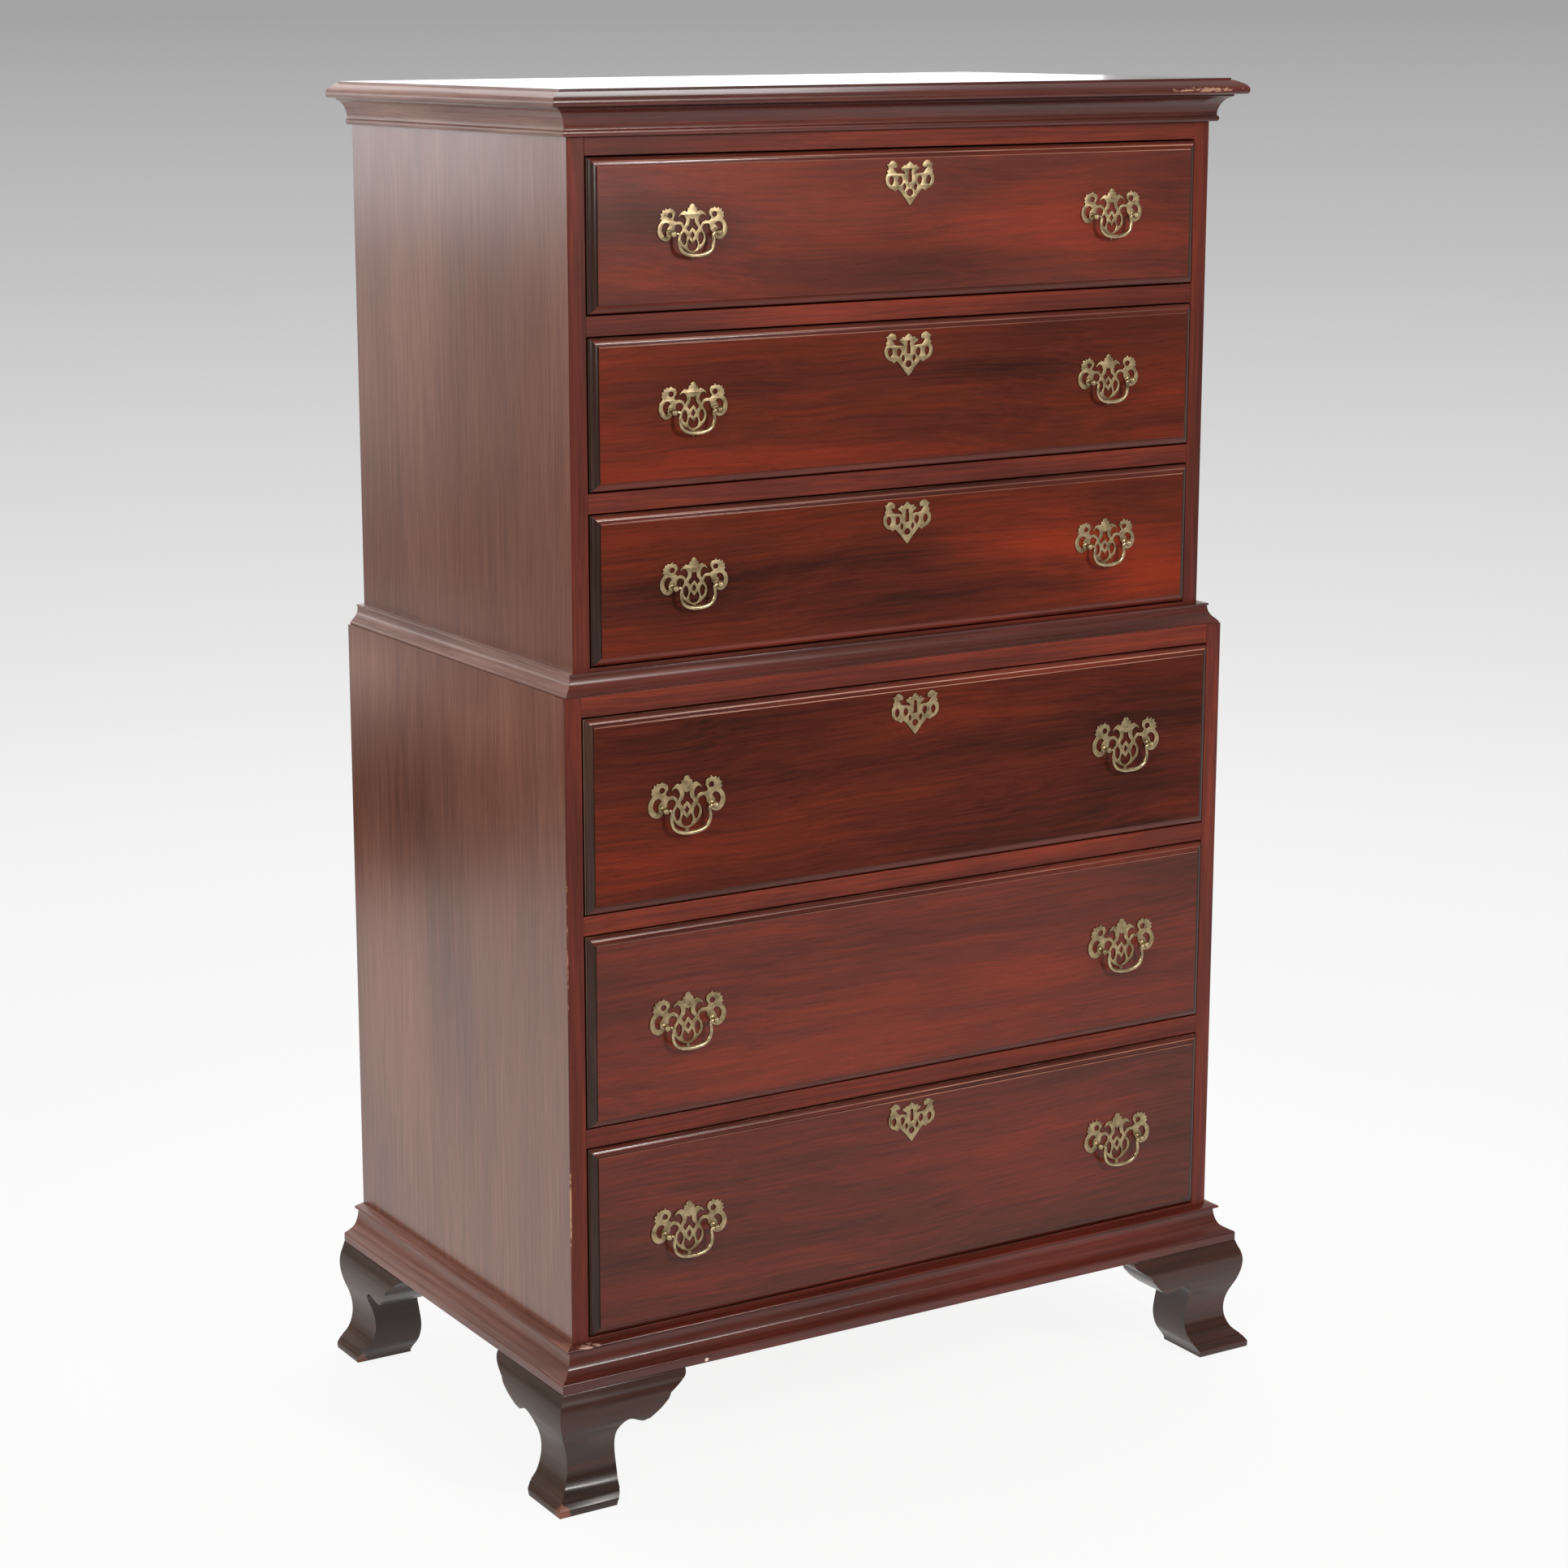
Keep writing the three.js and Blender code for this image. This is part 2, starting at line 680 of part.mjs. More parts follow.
// Drawers with their brasses, numbered from the top
const hardware = {
  upper: { plate: backplate(upperPlateWidth, upperPostSpacing), bail: bail(upperPostSpacing, upperBailDrop) },
  lower: { plate: backplate(lowerPlateWidth, lowerPostSpacing), bail: bail(lowerPostSpacing, lowerBailDrop) },
};
// How far each drawer's pulls are fixed above its middle: shares of the drawer opening's height
const pullRiseShares = [0.002, -0.002, -0.014, 0, -0.0155, -0.02];
const escutcheon = piercedPlate(
  escutcheonHalfShares,
  escutcheonHoleShares,
  escutcheonSideHoleShares,
  escutcheonWidth,
  escutcheonHeight,
);

function addDrawer(number, prefix, caseWidth, frontPlane, [low, high]) {
  const openHalf = caseWidth / 2 - stileWidth;
  const middle = (low + high) / 2;
  const drawer = new THREE.Group();
  drawer.position.set(0, frontPlane, 0);
  chest.add(drawer);
  const name = `drawer_${number}`;
  const front = drawerFront(2 * (openHalf - frontGap), high - low - 2 * frontGap);
  addPiece(`${name}_front`, front, 'front', [0, 0, middle], drawer);
  const boxWidth = 2 * (openHalf - boxSideClear);
  const boxHeight = high - low - boxHeadroom - boxLift;
  const boxStart = frontTongue + joint;
  const boxDepth = back - frontPlane - backStock - boxBackClear - boxStart;
  addPiece(`${name}_box`, drawerBox(boxWidth, boxHeight, boxDepth), 'inner', [0, boxStart, low + boxLift], drawer);
  const face = -frontProud - joint;
  const reach = openHalf - pullInset;
  const axis = middle + pullRiseShares[number - 1] * (high - low);
  for (const [side, x] of [['left', -reach], ['right', reach]]) {
    addPiece(`${name}_backplate_${side}`, hardware[prefix].plate, 'brass', [x, face, axis], drawer);
    addPiece(`${name}_bail_${side}`, hardware[prefix].bail, 'brass', [x, face, axis], drawer);
  }
  if (name !== plainDrawer) {
    addPiece(`${name}_escutcheon`, escutcheon, 'brass', [0, face, high - escutcheonDrop], drawer);
  }
}

upperOpenings.forEach((span, i) => addDrawer(i + 1, 'upper', upperWidth, upperFront, span));
lowerOpenings.forEach((span, i) => addDrawer(i + 1 + drawersPerCase, 'lower', lowerWidth, lowerFront, span));

console.log(`chest on chest, ${lowerWidth + 2 * footSpread} x ${lowerDepth + footSpread} x ${chestHeight} mm`);

export default chest;
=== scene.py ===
import math
import bmesh
import bpy
from mathutils import Matrix, Vector


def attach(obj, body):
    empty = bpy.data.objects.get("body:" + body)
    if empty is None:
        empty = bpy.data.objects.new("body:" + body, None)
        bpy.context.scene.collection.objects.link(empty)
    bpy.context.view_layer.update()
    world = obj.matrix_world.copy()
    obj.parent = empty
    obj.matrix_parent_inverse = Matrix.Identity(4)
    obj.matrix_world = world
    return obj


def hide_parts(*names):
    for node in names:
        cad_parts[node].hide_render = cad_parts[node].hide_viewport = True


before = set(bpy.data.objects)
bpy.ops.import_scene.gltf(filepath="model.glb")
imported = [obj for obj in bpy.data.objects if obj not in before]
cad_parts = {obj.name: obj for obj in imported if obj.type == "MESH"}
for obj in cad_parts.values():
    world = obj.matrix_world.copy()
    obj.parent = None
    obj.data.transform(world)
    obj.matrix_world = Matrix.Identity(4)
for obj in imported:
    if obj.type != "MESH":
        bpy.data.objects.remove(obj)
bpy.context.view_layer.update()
scene = bpy.context.scene
mm = 0.001  # tables below are in millimetres

case = {
    "back": 300, "lowerHalf": 457, "upperHalf": 434.5, "lowerFront": -258, "upperFront": -238,
    "lowerBottom": 142.2, "lowerTop": 937, "upperBottom": 937.2, "upperTop": 1573, "stile": 21.5, "frameDepth": 22,
    "joint": 0.25, "panel": 19, "runner": 32, "rail": 22, "backStock": 8,
    "seam": 0.02, "backSeam": 0.2, "near": 0.1, "longEdge": 50, "arris": 1.1, "innerShare": 0.45, "outerSkin": 1.2,
    "lowerOpenings": [(688, 914), (440, 666), (192, 418)],
    "upperOpenings": [(1350, 1521), (1157, 1328), (964, 1135)],
}
print("stage: frame loaded,", len(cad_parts), "nodes")


# small tools for nodes
def nodeTree(owner):
    owner.use_nodes = True
    owner.node_tree.nodes.clear()
    return owner.node_tree


def addNode(tree, kind, **values):
    node = tree.nodes.new(kind)
    for key, value in values.items():
        if hasattr(node, key):
            setattr(node, key, value)
        else:
            node.inputs[key.replace("_", " ")].default_value = value
    return node


def wire(tree, fromSocket, toSocket):
    tree.links.new(fromSocket, toSocket)


def linear(rgb):
    return [(c / 255 / 12.92 if c <= 10 else ((c / 255 + 0.055) / 1.055) ** 2.4) for c in rgb] + [1]


def rampNode(tree, stops, fac):
    node = tree.nodes.new("ShaderNodeValToRGB")
    points = node.color_ramp.elements
    while len(points) < len(stops):
        points.new(0.5)
    for point, (place, colour) in zip(points, stops):
        point.position = place
        point.color = colour if len(colour) == 4 else list(colour) + [1]
    wire(tree, fac, node.inputs[0])
    return node.outputs[0]


def mathNode(tree, operation, a, b=None, clamp=False):
    node = tree.nodes.new("ShaderNodeMath")
    node.operation = operation
    node.use_clamp = clamp
    for socket, value in zip(node.inputs, (a, b)):
        if value is None:
            continue
        if isinstance(value, (int, float)):
            socket.default_value = value
        else:
            wire(tree, value, socket)
    return node.outputs[0]


def mixColour(tree, blend, fac, a, b):
    node = tree.nodes.new("ShaderNodeMix")
    node.data_type = "RGBA"
    node.blend_type = blend
    for socket, value in ((node.inputs[0], fac), (node.inputs[6], a), (node.inputs[7], b)):
        if isinstance(value, (int, float, list, tuple)):
            socket.default_value = value
        else:
            wire(tree, value, socket)
    return node.outputs[2]


def swing(tree, noise, share):  # noise that lies around a half, turned into a swing around zero
    return mathNode(tree, "MULTIPLY", mathNode(tree, "SUBTRACT", noise, 0.5), share)


def finishTree(tree, socket, kind="ShaderNodeOutputMaterial"):
    wire(tree, socket, addNode(tree, kind).inputs[0])


# the first seven are scales of noise: along the board, across its face and through it
woodLook = {
    "streak": (1.1, 34, 34), "fine": (7, 320, 320), "pore": (26, 1500, 1500), "cloud": (1.7, 6, 6),
    "drift": (2.2, 5, 5), "crumb": (130, 420, 420), "wear": (3, 9, 9),
    "seedShift": (3.7, 1.9, 2.3), "streakShare": 1.1, "cloudShare": 0.9, "fineShare": 0.7,
    "toneStops": (0.12, 0.5, 0.88), "poreStops": (0.3, 0.42), "poreTint": (0.42, 0.34, 0.3, 1),
    "bareStops": (0.5, 0.6), "coatRoughness": 0.09, "relief": 0.0004, "fineRelief": 0.6, "poreRelief": 0.5,
}
black, white = (0, 0, 0), (1, 1, 1)


def stretched(tree, coords, axis, scale, shift):
    along, across, through = scale
    order = {"x": (along, across, through), "y": (across, along, through), "z": (across, through, along)}[axis]
    mapping = addNode(tree, "ShaderNodeMapping")
    mapping.inputs["Scale"].default_value = order
    mapping.inputs["Location"].default_value = shift
    wire(tree, coords, mapping.inputs["Vector"])
    return mapping.outputs[0]


def noiseOn(tree, vector, scale=1.0, detail=3.0, rough=0.5, distortion=0.0):
    node = addNode(tree, "ShaderNodeTexNoise", Scale=scale, Detail=detail, Roughness=rough, Distortion=distortion)
    wire(tree, vector, node.inputs["Vector"])
    return node.outputs[0]


def patchNode(tree, coords, plane, spot):
    a, b, width, height = [value * mm for value in spot]
    deep = 10  # metres, so that the patch goes right through the board
    centred = addNode(tree, "ShaderNodeMapping", vector_type="TEXTURE")
    onFront = plane == "xz"
    centred.inputs["Location"].default_value = (a, 0, b) if onFront else (0, a, b)
    centred.inputs["Scale"].default_value = (width, deep, height) if onFront else (deep, width, height)
    wire(tree, coords, centred.inputs["Vector"])
    ball = addNode(tree, "ShaderNodeTexGradient", gradient_type="SPHERICAL")
    wire(tree, centred.outputs[0], ball.inputs[0])
    return ball.outputs[1]


def woodMaterial(name, axis, tones, seed=0.0, roughness=(0.3, 0.42), specular=0.2, tonePatches=(), streak=1.0,
                 cloud=1.0, pores=0.5, bump=0.08, bend=0.02, shade=0.0, coat=0.0, plane="xz", scuffs=()):
    look = woodLook
    material = bpy.data.materials.new(name)
    tree = nodeTree(material)
    shader = addNode(tree, "ShaderNodeBsdfPrincipled")
    shader.inputs["Specular IOR Level"].default_value = specular
    if coat:
        shader.inputs["Coat Weight"].default_value = coat
        shader.inputs["Coat Roughness"].default_value = look["coatRoughness"]
    finishTree(tree, shader.outputs[0])
    coords = addNode(tree, "ShaderNodeTexCoord").outputs["Object"]
    shift = [seed * step for step in look["seedShift"]]

    def noiseAlong(vector, key, **values):
        return noiseOn(tree, stretched(tree, vector, axis, look[key], shift), **values)

    # the board's figure wanders a little across the grain
    offset = swing(tree, noiseAlong(coords, "drift", detail=2), bend)
    spread = addNode(tree, "ShaderNodeCombineXYZ")
    for socket, letter in zip(spread.inputs, "xyz"):
        if letter != axis:
            wire(tree, offset, socket)
    moved = tree.nodes.new("ShaderNodeVectorMath")
    wire(tree, coords, moved.inputs[0])
    wire(tree, spread.outputs[0], moved.inputs[1])
    grain = moved.outputs[0]

    streaks = noiseAlong(grain, "streak", detail=5, rough=0.62, distortion=0.35)
    fine = noiseAlong(grain, "fine", detail=4, rough=0.6)
    clouds = noiseAlong(coords, "cloud", detail=2)
    tone = mathNode(tree, "ADD", swing(tree, streaks, look["streakShare"] * streak),
                    swing(tree, clouds, look["cloudShare"] * cloud))
    tone = mathNode(tree, "ADD", tone, swing(tree, fine, look["fineShare"]))
    tone = mathNode(tree, "ADD", tone, 0.5 + shade)
    for *spot, amount in tonePatches:  # soft patches of darker or brighter tone: wood figure, and on drawer 1 and the rear of the case sides also painted sheen
        tone = mathNode(tree, "ADD", tone, mathNode(tree, "MULTIPLY", patchNode(tree, grain, plane, spot), amount))
    stops = list(zip(look["toneStops"], [linear(rgb) for rgb in tones]))
    colour = rampNode(tree, stops, mathNode(tree, "ADD", tone, 0, True))

    # open pores, short dark dashes along the grain
    pore = rampNode(tree, list(zip(look["poreStops"], (white, black))), noiseAlong(grain, "pore", detail=1))
    colour = mixColour(tree, "MULTIPLY", mathNode(tree, "MULTIPLY", pore, pores), colour, look["poreTint"])
    for *spot, amount, rubbed in scuffs:  # small places where the finish has gone
        crumbs = noiseAlong(coords, "crumb", detail=3)
        bare = mathNode(tree, "MULTIPLY", patchNode(tree, coords, plane, spot), amount)
        bare = mathNode(tree, "MULTIPLY", bare, crumbs)
        mask = rampNode(tree, list(zip(look["bareStops"], (black, white))), bare)
        colour = mixColour(tree, "MIX", mask, colour, linear(rubbed))
    wire(tree, colour, shader.inputs["Base Color"])

    low, high = roughness
    wear = mathNode(tree, "MULTIPLY", noiseAlong(coords, "wear", detail=4, rough=0.65), (high - low) * 2)
    wire(tree, mathNode(tree, "ADD", wear, low - (high - low) / 2), shader.inputs["Roughness"])
    ripple = addNode(tree, "ShaderNodeBump", Strength=bump, Distance=look["relief"])
    height = mathNode(tree, "SUBTRACT", mathNode(tree, "MULTIPLY", fine, look["fineRelief"]),
                      mathNode(tree, "MULTIPLY", pore, look["poreRelief"]))
    wire(tree, height, ripple.inputs["Height"])
    wire(tree, ripple.outputs[0], shader.inputs["Normal"])
    return material


# tones run dark, middle, light; a patch is its centre, half width, half height and strength; most patches are wood
# figure, and the bright ones across the middle and right of drawer 1 are partly painted sheen
frontTones = [(44, 17, 10), (86, 32, 18), (124, 42, 21)]
frontFigureAndSheen = {
    # the two bright patches at height 1440 are partly painted sheen
    1: [(-330, 1445, 170, 42, -0.45), (-300, 1385, 240, 36, 0.3), (0, 1440, 260, 60, 0.22),
        (210, 1440, 180, 70, 0.42)],
    2: [(-60, 1172, 520, 22, 0.1), (-300, 1250, 160, 50, -0.1), (120, 1262, 260, 14, -0.2), (330, 1230, 160, 50, 0.1)],
    3: [(230, 1052, 230, 46, 0.6), (360, 1010, 120, 50, 0.4), (-160, 1056, 360, 16, -0.25), (60, 1000, 260, 20, -0.15),
        (-300, 1050, 170, 90, -0.15)],
    4: [(-300, 700, 260, 30, -0.2), (100, 860, 420, 40, 0.1), (0, 790, 500, 30, 0.08),
        (330, 790, 180, 110, -0.14)],
    5: [(200, 560, 300, 60, 0.12), (-300, 480, 260, 40, 0.08), (0, 620, 400, 20, -0.1)],
    6: [(-150, 260, 400, 60, -0.08), (250, 340, 240, 40, 0.08), (0, 215, 500, 20, -0.1)],
}
frontShade = {1: 0.06, 2: 0.0, 3: -0.04, 4: -0.1, 5: 0.05, 6: 0.02}
frontPolish = {1: 0.44, 2: 0.2, 3: 0.15, 4: 0.12, 5: 0.33, 6: 0.34}
mahoganyFronts = {
    n: woodMaterial(f"mahoganyDrawerFront{n}", "x", frontTones, seed=n * 1.37, tonePatches=frontFigureAndSheen[n],
                    roughness=(0.25, 0.36), specular=frontPolish[n], streak=0.55, bend=0.05, shade=frontShade[n])
    for n in range(1, 7)
}
# the upright moulded edges of the drawer fronts are painted darker: painted shade for the little light these rounds
# catch, with some darker toner and dirt as well
mahoganyEdge = woodMaterial("mahoganyEdge", "x", [(46, 20, 14), (82, 35, 25), (114, 47, 34)], seed=3.3,
                            roughness=(0.16, 0.24), specular=0.3)
# painted shade on the upright edges
mahoganyEdgePaintedShade = woodMaterial("mahoganyEdgePaintedShade", "z", [(26, 15, 11), (50, 31, 23), (80, 51, 38)], seed=3.9,
                                roughness=(0.26, 0.36), specular=0.3)
# the outer arris on the top and left of each front is painted lighter: rubbed wear, and a painted highlight on the
# sides that face the light
rubbedAndLitEdge = woodMaterial("rubbedAndLitEdge", "z", [(52, 38, 28), (98, 78, 62), (156, 134, 112)], seed=4.8, streak=1.8,
                          roughness=(0.3, 0.42), specular=0.4, bend=0)
# painted highlights: a light line along the crown of each front's top edge, and a light strip at the top arris of the
# field that is also rubbed wear
paintedHighlightLine = woodMaterial("paintedHighlightLine", "x", [(80, 40, 31), (128, 80, 65), (176, 126, 106)], seed=5.6, streak=1.6,
                        roughness=(0.3, 0.42), bend=0)
railTones = [(48, 21, 15), (92, 38, 28), (138, 54, 33)]
# the case sides are painted lighter than the fronts: partly a paler board, partly painted light for the light falling
# on the sides
sideTones = [(84, 47, 36), (125, 77, 60), (160, 108, 86)]
mouldingTones = [(40, 17, 12), (76, 31, 23), (108, 41, 29)]
# the side runs of the base moulding are lighter than its front run: painted light, a lit copy for the light falling on
# the sides
sideRunLitTones = [(70, 41, 34), (116, 73, 61), (156, 105, 89)]
# the side runs of the top board, cornice and waist are lighter still: painted light and painted sheen, a lit copy for
# the bright light and haze on the left
upperRunSideLitTones = [(84, 57, 50), (138, 102, 93), (180, 142, 130)]
footTones = [(30, 14, 7), (50, 25, 14), (76, 34, 19)]
# the side faces of the feet are lighter than their fronts: painted light for the light falling on the sides
footSideLitTones = [(46, 28, 18), (68, 45, 32), (92, 64, 48)]
railFigure = [(-100, 1339, 520, 40, 0.3), (-150, 926, 460, 34, 0.14)]
stileFigure = [(-446, 1250, 300, 420, -0.2), (-446, 520, 300, 380, 0.08), (-446, 220, 300, 160, -0.18)]
mahoganyRail = woodMaterial("mahoganyRail", "x", railTones, seed=8.1, tonePatches=railFigure, streak=0.8)
mahoganyStile = woodMaterial("mahoganyStile", "z", railTones, seed=9.3, tonePatches=stileFigure, streak=0.8)
# patches on the case sides: darker and lighter figure, and the lighter ones towards the rear, where the sides catch a
# sheen, are partly painted sheen
sideFigureAndSheen = [(100, 740, 300, 120, -0.14), (40, 580, 120, 260, -0.14), (-60, 880, 180, 60, 0.12),
              (200, 520, 150, 240, 0.2), (240, 900, 170, 70, 0.25), (-120, 1060, 140, 160, -0.1),
              (200, 1320, 200, 200, 0.15)]
mahoganySide = woodMaterial("mahoganySide", "z", sideTones, seed=2.2, roughness=(0.18, 0.25), specular=0.7,
                            streak=0.3, cloud=0.5, tonePatches=sideFigureAndSheen, plane="yz", bump=0.05)
mahoganyTop = woodMaterial("mahoganyTop", "x", railTones, seed=4.4, roughness=(0.2, 0.3), specular=0.5, bump=0.04,
                           coat=1.0)
mahoganyMouldingFront = woodMaterial("mahoganyMouldingFront", "x", mouldingTones, seed=5.2, specular=0.5,
                                     roughness=(0.2, 0.3), bump=0.03, streak=0.7,
                                     scuffs=[(-442, 186, 60, 5, 1.35, (176, 140, 124)),
                                             (-296, 146, 5, 4, 2.0, (226, 204, 190)),
                                             (400, 1579, 150, 7, 1.42, (162, 122, 100))])
mahoganyMouldingSide = woodMaterial("mahoganyMouldingSide", "y", sideRunLitTones, seed=6.1, specular=0.5,
                                    roughness=(0.27, 0.35), bump=0.04, streak=0.6)
mahoganyUpperRunSide = woodMaterial("mahoganyUpperRunSide", "y", upperRunSideLitTones, seed=6.4, specular=0.5,
                                   roughness=(0.27, 0.35), bump=0.04, streak=0.6)
mahoganyFootFront = woodMaterial("mahoganyFootFront", "x", footTones, seed=7.5, specular=0.5, roughness=(0.22, 0.32),
                                 bump=0.03, streak=0.6, scuffs=[(-499, 4, 26, 22, 2.2, (122, 70, 50))])
mahoganyFootSide = woodMaterial("mahoganyFootSide", "y", footSideLitTones, seed=7.9, specular=0.35,
                                roughness=(0.36, 0.46), bump=0.05, streak=0.5, plane="yz",
                                scuffs=[(-300, 4, 22, 22, 2.2, (122, 70, 50))])
wornArris = woodMaterial("wornArris", "z", railTones, seed=3.1, roughness=(0.35, 0.5), specular=0.3, bend=0,
                         scuffs=[(-457, 345, 60, 120, 1.5, (190, 146, 112)),
                                 (-457, 640, 60, 420, 1.06, (160, 112, 84))])
boxTones = [(142, 108, 72), (176, 140, 98), (204, 170, 126)]
secondaryBoard = woodMaterial("secondaryBoard", "y", boxTones, seed=1.1, roughness=(0.55, 0.7), pores=0.3)
secondaryPanel = woodMaterial("secondaryPanel", "x", boxTones, seed=1.7, roughness=(0.55, 0.7), pores=0.3)
backTones = [(104, 76, 52), (138, 106, 74), (164, 130, 94)]
backPanels = {
    prefix: woodMaterial(f"{prefix}BackPanelWood", "z", backTones, seed=seed, roughness=(0.6, 0.75), pores=0.4)
    for prefix, seed in (("lower", 2.9), ("upper", 6.6))
}
print("stage: woods made")


brassLook = {
    "patchScale": 90, "speckScale": 900, "patchShare": 0.75, "speckShare": 0.25, "stops": (0.32, 0.62),
    "bump": 0.25, "relief": 0.0002,
}


def brassMaterial(name, tones, roughness):
    look = brassLook
    material = bpy.data.materials.new(name)
    tree = nodeTree(material)
    shader = addNode(tree, "ShaderNodeBsdfPrincipled", Metallic=1.0)
    finishTree(tree, shader.outputs[0])
    coords = addNode(tree, "ShaderNodeTexCoord").outputs["Object"]
    patches = noiseOn(tree, coords, scale=look["patchScale"], detail=4, rough=0.6)
    specks = noiseOn(tree, coords, scale=look["speckScale"], detail=3, rough=0.6)
    mottle = mathNode(tree, "ADD", mathNode(tree, "MULTIPLY", patches, look["patchShare"]),
                      mathNode(tree, "MULTIPLY", specks, look["speckShare"]))
    wire(tree, rampNode(tree, list(zip(look["stops"], [linear(rgb) for rgb in tones])), mottle),
         shader.inputs["Base Color"])
    low, high = roughness
    wire(tree, mathNode(tree, "ADD", mathNode(tree, "MULTIPLY", specks, high - low), low), shader.inputs["Roughness"])
    cast = addNode(tree, "ShaderNodeBump", Strength=look["bump"], Distance=look["relief"])
    wire(tree, specks, cast.inputs["Height"])
    wire(tree, cast.outputs[0], shader.inputs["Normal"])
    return material


# tarnished and clean tone
castBrass = brassMaterial("castBrass", [(112, 96, 70), (194, 172, 134)], (0.36, 0.5))
bailBrass = brassMaterial("bailBrass", [(122, 104, 76), (210, 188, 150)], (0.24, 0.38))
print("stage: brass made")


def cleaned(mesh, weld=1e-6):  # metres
    shell = bmesh.new()
    shell.from_mesh(mesh)
    if weld:
        bmesh.ops.remove_doubles(shell, verts=shell.verts, dist=weld)
    bmesh.ops.recalc_face_normals(shell, faces=shell.faces)
    shell.to_mesh(mesh)
    shell.free()


def linked(name, data):
    thing = bpy.data.objects.new(name, data)
    scene.collection.objects.link(thing)
    return thing


def evaluated(thing):
    bpy.context.view_layer.update()
    return bpy.data.meshes.new_from_object(thing.evaluated_get(bpy.context.evaluated_depsgraph_get()))


def newPiece(name, points, faces, materials, faceSlots=None, sharp=32):
    mesh = bpy.data.meshes.new(name)
    mesh.from_pydata([[c * mm for c in p] for p in points], [], faces)
    for material in materials:
        mesh.materials.append(material)
    if faceSlots:
        mesh.polygons.foreach_set("material_index", faceSlots)
    cleaned(mesh)
    shade(mesh, sharp)
    return linked(name, mesh)


def shade(mesh, sharp=32):
    mesh.shade_smooth()
    mesh.set_sharp_from_angle(angle=math.radians(sharp))


def settled(piece):
    mesh = evaluated(piece)
    mesh.name = piece.name
    piece.modifiers.clear()
    piece.data = mesh


def softened(piece, width, segments=2, angle=40, weigh=None):
    bevel = piece.modifiers.new("arris", "BEVEL")
    bevel.width = width * mm
    bevel.segments = segments
    bevel.limit_method = "WEIGHT" if weigh else "ANGLE"
    bevel.angle_limit = math.radians(angle)
    if weigh:  # each edge gets its own share of the width
        mesh = piece.data
        shares = mesh.attributes.new("bevel_weight_edge", "FLOAT", "EDGE")
        ends = [[mesh.vertices[i].co / mm for i in edge.vertices] for edge in mesh.edges]
        shares.data.foreach_set("value", [weigh(a, b) for a, b in ends])
    settled(piece)
    shade(piece.data, 20)  # below the 22.5 degrees of a two-step arris, so that the flats stay flat
    return piece


def rounded(points, steps=4):
    smooth = []
    last = len(points) - 1
    for i in range(last):
        p0, p1, p2, p3 = (points[max(i - 1, 0)], points[i], points[i + 1], points[min(i + 2, last)])
        for k in range(steps):
            t = k / steps
            smooth.append(tuple(
                0.5 * (2 * b + (c - a) * t + (2 * a - 5 * b + 4 * c - d) * t * t + (3 * b - a - 3 * c + d) * t ** 3)
                for a, b, c, d in zip(p0, p1, p2, p3)))
    return smooth + [points[-1]]


def profileOf(runs, steps=4):
    return [p for run in runs for p in (rounded(run, steps) if len(run) > 2 else run)]


def boxFaces(start):
    quads = [(0, 1, 3, 2), (4, 6, 7, 5), (0, 4, 5, 1), (2, 3, 7, 6), (0, 2, 6, 4), (1, 5, 7, 3)]
    return [tuple(start + i for i in quad) for quad in quads]


def boards(name, boxes, materials, width, weigh=None):
    points, faces, slots = [], [], []
    for x0, x1, y0, y1, z0, z1, index in boxes:
        faces += boxFaces(len(points))
        slots += [index] * 6
        points += [(x, y, z) for x in (x0, x1) for y in (y0, y1) for z in (z0, z1)]
    piece = newPiece(name, points, faces, materials, slots)
    return softened(piece, width, weigh=weigh) if width else piece


def ringStack(name, rings, materials, slotOf=None, sharp=32):
    count = len(rings[0])
    points = [p for ring in rings for p in ring]
    faces, slots = [], []
    for r in range(len(rings) - 1):
        for i in range(count):
            a, b = r * count + i, r * count + (i + 1) % count
            faces.append((a, b, b + count, a + count))
            slots.append(slotOf(i, r) if slotOf else 0)
    faces.append(tuple(reversed(range(count))))
    faces.append(tuple(range(len(points) - count, len(points))))
    slots += [0, 0]
    return newPiece(name, points, faces, materials, slots, sharp)


def mitredRun(name, contour, halfWidth, front, base, materials):
    stations = [
        lambda o: (-halfWidth - o, case["back"]), lambda o: (-halfWidth - o, front - o),
        lambda o: (halfWidth + o, front - o), lambda o: (halfWidth + o, case["back"]),
    ]
    count = len(contour)
    points = [(*place(o), base + h) for place in stations for o, h in contour]
    faces, slots = [], []
    for s in range(3):
        for i in range(count):
            a, b = s * count + i, s * count + (i + 1) % count
            faces.append((a, b, b + count, a + count))
            slots.append(0 if s == 1 else 1)
    faces += [tuple(range(count)), tuple(range(3 * count, 4 * count))]
    return newPiece(name, points, faces, materials, slots + [1, 1], 26)


def placed(piece, body, slot, *nodes):
    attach(piece, body)
    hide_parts(*nodes)


